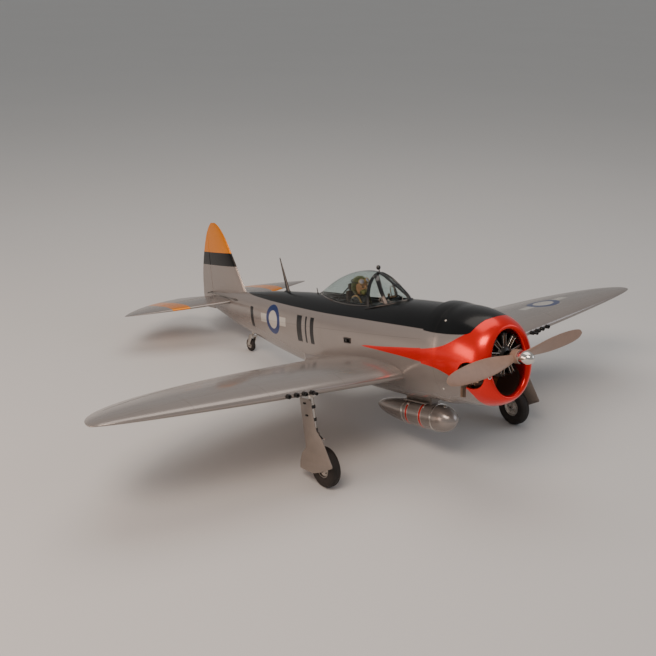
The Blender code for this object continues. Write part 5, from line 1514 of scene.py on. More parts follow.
def make_propeller():
    """Two-blade propeller, drive washer and bullet nut."""
    profile = rounded([(0.0043, HUB_HALF), (0.0150, HUB_HALF), (0.0150, -HUB_HALF),
                       (0.0043, -HUB_HALF)], 4, 0.12)
    hub = lathe("hub", profile, (0, PROP_Y, 0), (0, 1, 0), 64, ring=True)
    add(hub, smooth_blade(0.0), smooth_blade(math.pi))
    bore = rod("bore", (0, PROP_Y - 0.02, 0), (0, PROP_Y + 0.02, 0), 0.0043)
    cut(hub, bore)
    ribs = []
    for k in range(2):
        ribs.append(rod(f"hub_ring_{k}", (0, PROP_Y + 0.0045 - 0.0090 * k, 0),
                        (0, PROP_Y + 0.0039 - 0.0090 * k, 0), 0.0153, 64))
    piece("propeller_blades", [(hub, "nylon"), *[(rib, "nylon") for rib in ribs]],
          "propeller_group", ["propeller"], 50.0)
    face = PROP_Y - HUB_HALF - GAP
    outline = [(0.0, face - 0.0115), (0.0043, face - 0.0115), (0.0043, face), (0.0148, face),
               (0.0148, face - 0.0022), (0.0143, face - 0.0027), (0.0143, face - 0.0033),
               (0.0148, face - 0.0038), (0.0148, face - 0.0120)]
    for k in range(1, 25):
        angle = math.pi / 2 * k / 24
        radius = 0.0148 * math.cos(angle) if k < 24 else 0.0
        outline.append((radius, face - 0.0120 - 0.0230 * math.sin(angle)))
    nut = lathe("nut", outline, (0, 0, 0), (0, 1, 0), 72)
    tommy = rod("tommy_hole", (-0.02, face - 0.0085, 0), (0.02, face - 0.0085, 0), 0.0017, 24)
    cut(nut, tommy)
    piece("spinner_nut_turned", [(nut, "polished")], "propeller_group", ["spinner_nut"])


def make_radial():
    """Dummy radial engine: crankcase, finned cylinders, pushrod tubes and leads."""
    case = lathe("case", rounded([
        (0.0490, 0.0285), (0.0490, 0.0262), (0.0250, 0.0240), (0.0225, 0.0180), (0.0205, 0.0135),
        (0.0150, 0.0090), (0.0110, 0.0068), (0.0086, 0.0062), (0.0084, 0.0285)], 3, 0.2),
        (0, 0, 0), (0, 1, 0), 72, ring=True)
    shown = [(case, "radial")]
    ring_bolts, bolt_faces = [], []
    for index in range(CYLINDERS):
        angle = math.radians(90 + 360 / CYLINDERS * index)
        out = Vector((math.cos(angle), 0.0, math.sin(angle)))
        across = Vector((-math.sin(angle), 0.0, math.cos(angle)))
        seat = Vector((0.0, 0.0185, 0.0))
        profile = [(0.0, 0.0170)]
        for k in range(COOLING_FINS):
            start = 0.0185 + k * FIN_PITCH
            profile += [(0.0056, start), (0.0071, start + 0.0003), (0.0071, start + 0.0009),
                        (0.0056, start + 0.0012)]
        profile += [(0.0060, 0.0400), (0.0080, 0.0406), (0.0080, 0.0430), (0.0064, 0.0470),
                    (0.0, 0.0474)]
        barrel = lathe(f"barrel_{index}", profile, seat, out, 32)
        shown.append((barrel, "radial"))
        for offset in (-0.0046, 0.0046):
            low = Vector((0, 0.0118, 0)) + out * 0.0185 + across * offset * 0.7
            high = Vector((0, 0.0108, 0)) + out * 0.0430 + across * offset
            shown.append((rod(f"tube_{index}_{offset}", low, high, 0.0010, 14), "steel"))
            cap = high + out * 0.0014
            shown.append((ball(f"rocker_{index}_{offset}", cap, (0.0024, 0.0024, 0.0024), 16, 10),
                          "radial"))
        plug = [seat + Vector((0, -0.0070, 0)) + out * 0.0445,
                Vector((0, 0.0098, 0)) + out * 0.0380 + across * 0.0015,
                Vector((0, 0.0112, 0)) + out * 0.0270, Vector((0, 0.0140, 0)) + out * 0.0232]
        shown.append((wire(f"lead_{index}", plug, 0.0006), "bronze"))
        ring_bolts.append(Vector((0, 0.0112, 0)) + (out + across * 0.36).normalized() * 0.0178)
        bolt_faces.append(Vector((0, -1, 0)) + out * 0.45)
    bolts = spread("case_bolts", ring_bolts, bolt_faces, screw("case_bolt", 0.0011), "steel")
    shown.append((bolts, "steel"))
    piece("dummy_radial", shown, "airframe", ["dummy_engine"])


def make_grommet():
    """Bright lip grommet and exhaust clamp at the front of the cowl."""
    shown = []
    ring = lathe("grommet", rounded([(0.0022, -0.0010), (0.0042, -0.0010), (0.0042, 0.0012),
                                     (0.0022, 0.0012)], 3, 0.3), (-0.0610, 0.0000, -0.0352),
                 (-0.31, -0.95, -0.05), 32, ring=True)
    shown.append((ring, "polished"))
    band = lathe("exhaust_band", [(0.0082, -0.0030), (0.0087, -0.0026), (0.0087, 0.0026),
                                  (0.0082, 0.0030)], (-0.0738, 0.0474, -0.0464),
                 (-0.93, -0.34, 0.0), 40, ring=True)
    shown.append((band, "alloy"))
    piece("nose_fittings", shown, "airframe", [])


# ---------------------------------------------------------------- cockpit
def glass_skin(name, stations, wall, ends):
    """A thin arched shell standing on the body, open underneath and at one end."""
    rows = [spline(stations, stations[0][0] + (stations[-1][0] - stations[0][0]) * k / 60)
            for k in range(61)]
    ys = [stations[0][0] + (stations[-1][0] - stations[0][0]) * k / 60 for k in range(61)]
    outer = loft(name, [canopy_ring(y, *row, 61) for y, row in zip(ys, rows)])
    inner = []
    for y, (half, height, foot) in list(zip(ys, rows))[1:-1]:
        if half > wall * 2:
            inner.append([y, half - wall, height - wall, foot - 0.030])
    inner[0][0] += ends[0]
    inner[-1][0] += ends[1]
    cut(outer, loft(name + "_room", [canopy_ring(*row, 61) for row in inner]))
    return cut(outer, loft(name + "_seat", body_rings(*CANOPY_SEAT, GAP, 40)))


def skin_point(stations, y, share):
    """Point and outward normal on an arched skin, at a station and a share around the arch."""
    def at(place, part):
        ring = canopy_ring(place, *spline(stations, place), 121)
        reach = min(max(part, 0.0), 1.0) * 120
        low = min(int(reach), 119)
        return ring[low].lerp(ring[low + 1], reach - low)
    point = at(y, share)
    first, last = stations[0][0], stations[-1][0]
    along = at(min(y + 0.001, last), share) - at(max(y - 0.001, first), share)
    across = at(y, share + 0.01) - at(y, share - 0.01)
    normal = along.cross(across).normalized()
    middle = Vector((0.0, y + 0.03, 0.06))
    return point, normal if normal.dot(point - middle) > 0 else -normal


def skin_strip(name, stations, path, widths, thick):
    """A flat moulded strip that follows an arched skin; path of (y, share)."""
    placed = [skin_point(stations, *step) for step in path]
    rings = []
    count = len(placed)
    for k, (point, normal) in enumerate(placed):
        ahead = placed[min(k + 1, count - 1)][0] - placed[max(k - 1, 0)][0]
        sideways = normal.cross(ahead).normalized()
        half = (widths[0] + (widths[1] - widths[0]) * k / (count - 1)) / 2
        form = ((-half, -thick), (half, -thick), (half, thick * 0.3), (half * 0.8, thick),
                (-half * 0.8, thick), (-half, thick * 0.3))
        rings.append([point + sideways * across + normal * out for across, out in form])
    return loft(name, rings)


def make_windscreen():
    """Windscreen glass, its moulded black frame, the mirror and the front rail."""
    glass = glass_skin("screen_glass", SCREEN_GLASS, 0.0010, (0.0, 0.012))
    arch = [(0.4215, k / 60) for k in range(61)]
    strips = [skin_strip("arch", SCREEN_GLASS, arch, (0.0092, 0.0092), 0.0013)]
    for side in (1, -1):
        top, foot = 0.5 - side * 0.085, 0.5 - side * 0.5
        post = [(0.4190 - 0.0700 * k / 24, top + (foot - top) * (k / 24) ** 1.3)
                for k in range(25)]
        strips.append(skin_strip(f"side_post_{side}", SCREEN_GLASS, post, (0.0125, 0.0085),
                                 0.0012))
    centre = [(0.4190 - 0.1030 * k / 30, 0.5) for k in range(31)]
    strips.append(skin_strip("centre_post", SCREEN_GLASS, centre, (0.0090, 0.0042), 0.0012))
    feet = [(-0.0502, 0.4255, 0.0755), (-0.0440, 0.3850, 0.0830), (-0.0302, 0.3480, 0.0895),
            (-0.0150, 0.3250, 0.0945), (0.0, 0.3155, 0.0965)]
    rail = feet + [(-x, y, z) for x, y, z in reversed(feet[:-1])]
    strips.append(wire("foot_rail", rail, 0.0030))
    stalk = wire("mirror_stalk", [(0, 0.4205, 0.1510), (0, 0.4220, 0.1560), (0, 0.4240, 0.1630)],
                 0.0013)
    rim = lathe("mirror_rim", rounded([(0.0, 0.0052), (0.0030, 0.0050), (0.0056, 0.0020),
                                       (0.0058, -0.0010), (0.0050, -0.0022), (0.0, -0.0016)],
                                      4, 0.3), (0, 0.4252, 0.1672), (0, -1, 0), 40)
    piece("windscreen_glass", [(glass, "glass")], "airframe", ["windscreen"])
    piece("windscreen_frame", [*[(strip, "black") for strip in strips], (stalk, "black"),
                               (rim, "black")], "airframe", [])


def make_canopy():
    """Clear bubble with a dark foot rail and a thin front hoop."""
    glass = glass_skin("bubble", BUBBLE_GLASS, 0.0009, (-0.012, 0.0))
    rail = glass_skin("bubble_rail", [(y, half + 0.0006, height + 0.0006, foot)
                                      for y, half, height, foot in BUBBLE_GLASS], 0.0006,
                      (-0.012, 0.0))
    rail_height = Vector((0, 0, 0.0035))
    skin = loft("rail_height", [[p + rail_height for p in ring]
                                for ring in body_rings(*CANOPY_SEAT, 0.0, 60)])
    keep(rail, skin)
    hoop = [canopy_ring(0.4265, 0.0436, 0.1536, 0.074, 41)]
    front = wire("front_hoop", [tuple(p) for p in hoop[0]], 0.0010, smooth=False)
    piece("bubble_canopy", [(glass, "glass")], "airframe", ["canopy"])
    piece("canopy_rail", [(rail, "black"), (front, "black")], "airframe", [])


def head_form(name, stations):
    """A soft form from level ovals: z, half width, front y, rear y."""
    rings = []
    for k in range(41):
        z = stations[0][0] + (stations[-1][0] - stations[0][0]) * k / 40
        half, front, rear = spline(stations, z)
        middle, deep = (front + rear) / 2, (rear - front) / 2
        rings.append([Vector((half * math.cos(a), middle + deep * math.sin(a), z))
                      for a in [2 * math.pi * n / 40 for n in range(40)]])
    return loft(name, rings)


def make_pilot():
    """Seated figure in a cloth helmet, goggles pushed up, mask, jacket and harness."""
    head = head_form("head", (
        (0.0960, 0.0075, 0.4945, 0.5120), (0.1010, 0.0120, 0.4865, 0.5190),
        (0.1080, 0.0150, 0.4845, 0.5235), (0.1160, 0.0165, 0.4850, 0.5250),
        (0.1240, 0.0165, 0.4860, 0.5245), (0.1310, 0.0145, 0.4890, 0.5220),
        (0.1365, 0.0095, 0.4950, 0.5165), (0.1390, 0.0030, 0.5020, 0.5080)))
    nose = ball("nose", (0, 0.4838, 0.1140), (0.0024, 0.0034, 0.0044), 20, 14)
    brow = ball("brow", (0, 0.4872, 0.1192), (0.0118, 0.0028, 0.0019), 24, 12)
    eyes = []
    for side in (1, -1):
        eyes.append((ball(f"eye_{side}", (side * 0.0060, 0.4862, 0.1160),
                          (0.0026, 0.0014, 0.0014), 20, 12), "ink"))
    mask = head_form("mask", (
        (0.0955, 0.0060, 0.4860, 0.4960), (0.0990, 0.0105, 0.4800, 0.4990),
        (0.1040, 0.0122, 0.4785, 0.5010), (0.1085, 0.0105, 0.4805, 0.5000),
        (0.1115, 0.0050, 0.4850, 0.4960)))
    hose = wire("hose", [(0.0, 0.4800, 0.0985), (0.0030, 0.4760, 0.0900), (0.0080, 0.4800, 0.0800),
                         (0.0120, 0.4880, 0.0700)], 0.0030)
    helmet = head_form("helmet", (
        (0.0985, 0.0125, 0.4960, 0.5245), (0.1050, 0.0168, 0.4935, 0.5275),
        (0.1130, 0.0185, 0.4925, 0.5290), (0.1210, 0.0186, 0.4900, 0.5290),
        (0.1290, 0.0172, 0.4875, 0.5270), (0.1360, 0.0132, 0.4920, 0.5215),
        (0.1402, 0.0070, 0.4985, 0.5135), (0.1414, 0.0020, 0.5040, 0.5080)))
    cut(helmet, box("face_opening", (-0.0128, 0.4700, 0.0900), (0.0128, 0.4985, 0.1245), 0.0040))
    muffs = []
    for side in (1, -1):
        muffs.append((lathe(f"ear_{side}", rounded([(0.0, 0.0040), (0.0062, 0.0036),
                                                    (0.0070, 0.0), (0.0070, -0.0030),
                                                    (0.0, -0.0030)], 4, 0.3),
                            (side * 0.0180, 0.5090, 0.1130), (side, 0, 0), 32), "helmet"))
    goggles = []
    for side in (1, -1):
        centre = Vector((side * 0.0082, 0.4868, 0.1298))
        axis = Vector((side * 0.35, -0.80, 0.50)).normalized()
        rim = lathe(f"rim_{side}", rounded([(0.0058, -0.0022), (0.0078, -0.0022),
                                            (0.0074, 0.0018), (0.0060, 0.0018)], 3, 0.3),
                    centre, axis, 36, ring=True)
        lens = lathe(f"lens_{side}", [(0.0, 0.0018), (0.0035, 0.0014), (0.0061, 0.0004),
                                      (0.0061, -0.0012), (0.0, -0.0012)], centre, axis, 36)
        goggles += [(rim, "strap"), (lens, "lens")]
    goggles.append((wire("goggle_bridge", [(-0.0025, 0.4848, 0.1300), (0, 0.4842, 0.1303),
                                           (0.0025, 0.4848, 0.1300)], 0.0012), "strap"))
    band = [Vector((0.0190 * math.sin(a), 0.5080 - 0.0205 * math.cos(a), 0.1290 - 0.0030
                    * math.cos(a))) for a in [math.radians(45 + 270 * k / 18) for k in range(19)]]
    goggles.append((wire("goggle_band", band, 0.0013), "seat"))
    body = head_form("torso", (
        (0.0525, 0.0195, 0.4950, 0.5300), (0.0640, 0.0215, 0.4920, 0.5320),
        (0.0760, 0.0240, 0.4900, 0.5320), (0.0850, 0.0238, 0.4930, 0.5310),
        (0.0915, 0.0170, 0.4960, 0.5280), (0.0960, 0.0105, 0.4970, 0.5230),
        (0.1010, 0.0098, 0.4980, 0.5200)))
    arms = []
    for side in (1, -1):
        shape = [(side * 0.0205, 0.5130, 0.0860), (side * 0.0260, 0.5080, 0.0740),
                 (side * 0.0250, 0.4930, 0.0640), (side * 0.0150, 0.4700, 0.0660)]
        arms.append((wire(f"arm_{side}", shape, 0.0062), "jacket"))
        arms.append((ball(f"glove_{side}", shape[-1], (0.0058, 0.0070, 0.0054), 24, 16), "seat"))
        belt = [(side * 0.0125, 0.5270, 0.0895), (side * 0.0130, 0.5130, 0.0948),
                (side * 0.0135, 0.4995, 0.0925), (side * 0.0130, 0.4915, 0.0830),
                (side * 0.0105, 0.4885, 0.0700), (side * 0.0080, 0.4900, 0.0600)]
        strap = wire(f"belt_{side}", belt, 0.0019)
        arms.append((strap, "strap"))
        arms.append((box(f"buckle_{side}", (side * 0.0118 - 0.0030, 0.4862, 0.0740),
                         (side * 0.0118 + 0.0030, 0.4892, 0.0790), 0.0006), "steel"))
    collar = lathe("collar", rounded([(0.0095, -0.0025), (0.0135, -0.0030), (0.0125, 0.0035),
                                      (0.0095, 0.0030)], 4, 0.3), (0, 0.5085, 0.0985),
                   (0, 0.10, 1), 40, ring=True)
    piece("pilot_figure", [(head, "skin"), (nose, "skin"), (brow, "skin"), *eyes, (mask, "mask"),
                           (hose, "mask"), (helmet, "helmet"), *muffs, *goggles, (body, "jacket"),
                           *arms, (collar, "seat")], "airframe", ["pilot"], 45.0)


def make_cockpit():
    """Tub with padded seat, dials, gunsight, levers and a rear shelf."""
    ring = [2 * math.pi * k / 72 for k in range(72)]
    tub = loft("tub", [[Vector((0.0361 * math.cos(a), 0.4920 + 0.1596 * math.sin(a), z))
                        for a in ring] for z in (0.0481, 0.0800)])
    cut(tub, box("pocket", (-0.0290, 0.3900, 0.0520), (0.0290, 0.5700, 0.1000)),
        box("pocket_back", (-0.0180, 0.5600, 0.0520), (0.0180, 0.6300, 0.1000)),
        box("pocket_front", (-0.0200, 0.3600, 0.0520), (0.0200, 0.4000, 0.1000)))
    seat = box("seat", (-0.0205, 0.5340, 0.0500), (0.0205, 0.5430, 0.1060), 0.0035)
    rest = box("headrest", (-0.0125, 0.5320, 0.1060), (0.0125, 0.5420, 0.1230), 0.0045)
    brace = wire("seat_brace", [(-0.0100, 0.5425, 0.1120), (-0.0090, 0.5650, 0.0980),
                                (-0.0080, 0.5900, 0.0800)], 0.0016)
    second = wire("seat_brace_b", [(0.0100, 0.5425, 0.1120), (0.0090, 0.5650, 0.0980),
                                   (0.0080, 0.5900, 0.0800)], 0.0016)
    shelf = box("rear_shelf", (-0.0165, 0.5900, 0.0700), (0.0165, 0.6250, 0.0760), 0.0015)
    dash = box("dash", (-0.0280, 0.3790, 0.0700), (0.0280, 0.3840, 0.0935), 0.0020)
    hood = wire("dash_hood", [(-0.0285, 0.3830, 0.0860), (-0.0200, 0.3830, 0.0955),
                              (0.0, 0.3830, 0.0985), (0.0200, 0.3830, 0.0955),
                              (0.0285, 0.3830, 0.0860)], 0.0016)
    sight = [(-0.0050, 0.3760, 0.0980), (-0.0052, 0.3800, 0.1120), (-0.0040, 0.3820, 0.1210),
             (0.0, 0.3830, 0.1235), (0.0040, 0.3820, 0.1210), (0.0052, 0.3800, 0.1120),
             (0.0050, 0.3760, 0.0980)]
    gunsight = wire("gunsight", sight, 0.0010)
    sight_base = box("sight_base", (-0.0070, 0.3735, 0.0960), (0.0070, 0.3860, 0.1005), 0.0012)
    sight_knob = ball("sight_knob", (-0.0070, 0.3850, 0.1040), (0.0030, 0.0030, 0.0034), 20, 14)
    glass = plate("sight_glass", [(-0.0045, 0.0), (0.0045, 0.0), (0.0040, 0.0180),
                                  (-0.0040, 0.0180)], 0.0006,
                  frame_at((0, 0.3778, 0.1030), (1, 0, 0), (0, 0.20, 0.98)))
    stick = wire("stick", [(0, 0.4550, 0.0520), (0, 0.4560, 0.0640), (0, 0.4580, 0.0740)], 0.0014)
    grip = ball("stick_grip", (0, 0.4585, 0.0760), (0.0024, 0.0024, 0.0048), 20, 14)
    throttle = wire("throttle", [(0.0270, 0.4300, 0.0800), (0.0262, 0.4310, 0.0890)], 0.0010)
    ball_end = ball("throttle_knob", (0.0262, 0.4312, 0.0902), (0.0024, 0.0024, 0.0024), 20, 14)
    piece("cockpit_fittings", [
        (tub, "plastic"), (seat, "seat"), (rest, "seat"), (brace, "plastic"),
        (second, "plastic"), (shelf, "plastic"), (dash, "dials"), (hood, "plastic"),
        (gunsight, "bronze"), (sight_base, "bronze"), (sight_knob, "bronze"), (glass, "glass"),
        (stick, "alloy"), (grip, "plastic"), (throttle, "alloy"), (ball_end, "body")],
          "airframe", ["cockpit_tub"])


# ---------------------------------------------------------------- spine and belly
def make_aerials():
    """Antenna mast with its foot fairing, and the short whip aerial."""
    foot, top = Vector((0, 0.8400, 0.0700)), Vector((0, 0.8670, 0.1740))
    stations = ((0.0, 0.0042, 0.0105), (0.12, 0.0036, 0.0085), (0.35, 0.0028, 0.0068),
                (0.7, 0.0019, 0.0043), (0.98, 0.0011, 0.0023), (1.0, 0.0006, 0.0013))
    rings = []
    for share, half, deep in stations:
        middle = foot.lerp(top, share)
        rings.append([middle + Vector((half * math.cos(a), deep * math.sin(a), 0))
                      for a in [2 * math.pi * k / 32 for k in range(32)]])
    mast = cut(loft("mast", rings), loft("mast_seat", body_rings(0.78, 0.92, GAP, 20)))
    base = ball("mast_foot", (0, 0.8455, 0.0812), (0.0062, 0.0150, 0.0040), 32, 16)
    start = Vector((0, 0.6980, spline(FUSELAGE, 0.698)[1] - 0.001))
    reach = sizes().whip
    whip = wire("whip", [start, start + Vector((0, 0.0008, reach * 0.5)),
                         start + Vector((0, 0.0022, reach))], 0.0012)
    boss = lathe("whip_boss", rounded([(0.0, 0.0035), (0.0022, 0.0032), (0.0030, 0.0),
                                       (0.0030, -0.0010), (0.0, -0.0010)], 3, 0.3), start,
                 (0, 0, 1), 28)
    piece("antenna_mast_blade", [(mast, "black"), (base, "black")], "airframe",
          ["antenna_mast"])
    piece("whip_aerial", [(whip, "black"), (boss, "black")], "airframe", [])


def tank_radius(share):
    """Radius of the tank at a share of its length: blunt nose, straight middle, drawn-out tail."""
    if share < TANK_NOSE:
        turn = (TANK_NOSE - share) / TANK_NOSE
    else:
        turn = max(0.0, share - TANK_STRAIGHT) / (1 - TANK_STRAIGHT)
    return DRUM_R * max(0.0, 1 - turn ** 2) ** 0.56


def make_store():
    """Drop tank with straps and filler cap, hung from its pylon with sway braces."""
    profile = []
    for k in range(97):
        share = (1 - math.cos(math.pi * k / 96)) / 2
        profile.append((tank_radius(share) if 0 < k < 96 else 0.0, DRUM_Y + DRUM_LENGTH * share))
    tank = lathe("tank", profile, (0, 0, DRUM_Z), (0, 1, 0), 96)
    shown = [(tank, "tank")]
    for at in TANK_STRAPS:
        r = tank_radius((at - DRUM_Y) / DRUM_LENGTH)
        strap = rounded([(r - 0.0008, -0.0024), (r + 0.0006, -0.0024), (r + 0.0006, 0.0024),
                         (r - 0.0008, 0.0024)], 3, 0.3)
        shown.append((lathe(f"strap_{at}", strap, (0, at, DRUM_Z), (0, 1, 0), 96, ring=True),
                      "polished"))
    cap = lathe("filler", rounded([(0.0, 0.0024), (0.0046, 0.0022), (0.0052, 0.0), (0.0052, -0.002),
                                   (0.0, -0.002)], 3, 0.3), (0, 0.2230, DRUM_Z + 0.0292),
                (0, -0.28, 1), 40)
    shown.append((cap, "polished"))
    piece("drop_tank_shell", shown, "airframe", ["drop_tank"])
    pylon = box("pylon", (-0.0100, 0.2580, -0.1560), (0.0100, 0.3500, -0.1200))
    wing_plate = box("pylon_plate", (-0.0240, 0.2640, -0.1440), (0.0240, 0.3440, -0.1410), 0.0006)
    seat = rod("drum_seat", (0, 0.20, DRUM_Z), (0, 0.40, DRUM_Z), DRUM_R + GAP, 96)
    cut(pylon, loft("pylon_seat", body_rings(0.22, 0.42, GAP, 30)), seat)
    places = [Vector((x, y, -0.1445)) for x in (-0.0205, 0.0205) for y in (0.2690, 0.3040, 0.3390)]
    bolts = spread("pylon_screws", places, [(0, 0, -1)] * 6, screw("pylon_screw", 0.0017), "steel")
    parts = [(pylon, "door"), (wing_plate, "door"), (bolts, "steel")]
    for side in (1, -1):
        for y in (0.2760, 0.3320):
            line = [(side * 0.0090, y, -0.1480), (side * 0.0160, y, -0.1500),
                    (side * 0.0215, y, -0.1540)]
            parts.append((wire(f"brace_{side}_{y}", line, 0.0013), "alloy"))
            parts.append((rod(f"pad_{side}_{y}", (side * 0.0205, y, -0.1515),
                              (side * 0.0212, y, -0.1548), 0.0026, 24, soft=0.0004), "alloy"))
    piece("tank_pylon_set", parts, "airframe", ["tank_pylon"])


# ---------------------------------------------------------------- gear
def rounded_door():
    """The gear door's outline with its corners eased, the lower ones more."""
    outline = []
    count = len(DOOR)
    for k in range(count):
        before, corner, after = (Vector(DOOR[(k + n) % count]) for n in (-1, 0, 1))
        reach = 0.006 if k in WIDE_CORNERS else 0.0035
        start = corner + (before - corner).normalized() * reach
        end = corner + (after - corner).normalized() * reach
        for step in range(5):
            t = step / 4
            outline.append(tuple(start.lerp(corner, t).lerp(corner.lerp(end, t), t)))
    return outline


def make_leg(side, word):
    """One main leg: strut, clamps, polished piston, torque links and door."""
    pivot = mirrored(side, PIVOT)
    axis = mirrored(side, GEAR_AXIS)
    x, y = pivot.x, pivot.y
    strut = lathe("strut", rounded([
        (0.0, 0.0), (STRUT_R, 0.0), (STRUT_R, -0.0785), (STRUT_R, STRUT_END_Z - PIVOT.z),
        (PISTON_R + 0.0004, STRUT_END_Z - PIVOT.z), (PISTON_R + 0.0004, -0.0430),
        (0.0, -0.0430)], 2, 0.04), (x, y, PIVOT.z), (0, 0, 1), 40)
    trunnion = rod("trunnion", pivot - axis * 0.0115, pivot + axis * 0.0115, 0.0062, 40,
                   soft=0.0006)
    shown = [(strut, "alloy"), (trunnion, "alloy")]
    for z, deep in ((-0.0860, 0.0034), (-0.1150, 0.0034), (-0.1415, 0.0062)):
        band = rounded([(STRUT_R - 0.0002, -deep), (STRUT_R + 0.0019, -deep),
                        (STRUT_R + 0.0019, deep), (STRUT_R - 0.0002, deep)], 3, 0.15)
        shown.append((lathe(f"collar_{z}", band, (x, y, z), (0, 0, 1), 40, ring=True),
                      "plastic"))
    for z in CLAMP_Z:
        outer, inner = side * (DOOR_X - GAP), side * (PIVOT.x + 0.0052)
        shown.append((box(f"clamp_{z}", (min(inner, outer), y - 0.0085, z - 0.0032),
                          (max(inner, outer), y + 0.0085, z + 0.0032), 0.0006), "plastic"))
    for offset in (-LUG_X, LUG_X):
        shown.append((box(f"upper_lug_{offset}", (x + offset - 0.0009, LINK_FRONT_Y, -0.1495),
                          (x + offset + 0.0009, y - 0.0030, -0.1445), 0.0003), "plastic"))
    shown.append((rod("top_pin", (x - LINK_PIN_HALF, LINK_TOP.y, LINK_TOP.z),
                      (x + LINK_PIN_HALF, LINK_TOP.y, LINK_TOP.z), 0.0012, 24), "steel"))
    piece(f"strut_{word}_turned", shown, f"leg_{word}", [f"strut_{word}"])
    piston = rod("piston", (x, y, -0.1120), (x, y, WHEEL.z + 0.006), PISTON_R, 36)
    foot = lathe("foot", rounded([(0.0, 0.0120), (0.0040, 0.0120), (0.0048, 0.0090),
                                  (0.0048, -0.0050), (0.0030, -0.0075), (0.0, -0.0075)], 3, 0.3),
                 (x, y, WHEEL.z), (0, 0, 1), 36)
    inner_end = WHEEL.x - 0.0125
    axle = rod("axle", (side * inner_end, y, WHEEL.z), (x, y, WHEEL.z), 0.0030, 32)
    nut = rod("axle_nut", (side * inner_end, y, WHEEL.z), (side * (inner_end + 0.0025), y,
                                                         WHEEL.z), 0.0050, 6, soft=0.0004)
    block = rod("lug_block", (x, y, -0.1615), (x, y, -0.1690), 0.0055, 36, soft=0.0005)
    parts = [(piston, "polished"), (foot, "alloy"), (axle, "steel"), (nut, "steel"),
             (block, "plastic")]
    for offset in (-LUG_X, LUG_X):
        parts.append((box(f"lower_lug_{offset}", (x + offset - 0.0009, LINK_FRONT_Y, -0.1680),
                          (x + offset + 0.0009, y - 0.0025, -0.1625), 0.0003), "plastic"))
    parts.append((rod("low_pin", (x - LINK_PIN_HALF, LINK_LOW.y, LINK_LOW.z),
                      (x + LINK_PIN_HALF, LINK_LOW.y, LINK_LOW.z), 0.0012, 24), "steel"))
    piece(f"piston_{word}_polished", parts, f"leg_{word}", [f"piston_{word}"])
    for label, root in (("upper", LINK_TOP), ("lower", LINK_LOW)):
        start = mirrored(side, root)
        along = (LINK_KNEE - root).normalized()
        length = (LINK_KNEE - root).length - 0.0005
        outline = [(-0.0030, -0.0011), (0.0030, -0.0011), (0.0020, length), (-0.0020, length)]
        link = plate(f"{label}_link", outline, 0.0022, frame_at(start, (1, 0, 0), along), 0.0004)
        window = plate("window", [(-0.0012, 0.0040), (0.0012, 0.0040), (0.0008, length - 0.005),
                                  (-0.0008, length - 0.005)], 0.0100,
                       frame_at(start, (1, 0, 0), along))
        cut(link, window)
        sleeve = rod("sleeve", start - Vector((0.0027, 0, 0)), start + Vector((0.0027, 0, 0)),
                     0.0018, 28)
        bits = [(link, "plastic"), (sleeve, "alloy")]
        if label == "upper":
            knee = mirrored(side, LINK_KNEE)
            bits.append((rod("knee", knee - Vector((0.0032, 0, 0)), knee + Vector((0.0032, 0, 0)),
                             0.0015, 28, soft=0.0003), "steel"))
        piece(f"{label}_link_{word}_arm", bits, f"leg_{word}", [f"{label}_link_{word}"])
    door = plate("door", rounded_door(), DOOR_T,
                 Matrix.Translation((side * (DOOR_X + DOOR_T / 2), 0, 0)) @ DOOR_FRAME, 0.0003)
    places, faces = [], []
    for y_at, z in ((0.3156, -0.0790), (0.3208, -0.0790), (0.3116, -0.1060), (0.3168, -0.1060)):
        places.append(Vector((side * (DOOR_X + DOOR_T + 0.0006), y_at, z)))
        faces.append(Vector((side, 0, 0)))
    heads = spread(f"door_screws_{word}", places, faces, screw("door_screw", 0.0019), "plastic")
    piece(f"gear_door_{word}_panel", [(door, "door"), (heads, "plastic")], f"leg_{word}",
          [f"gear_door_{word}"])
    make_wheel(side, word)


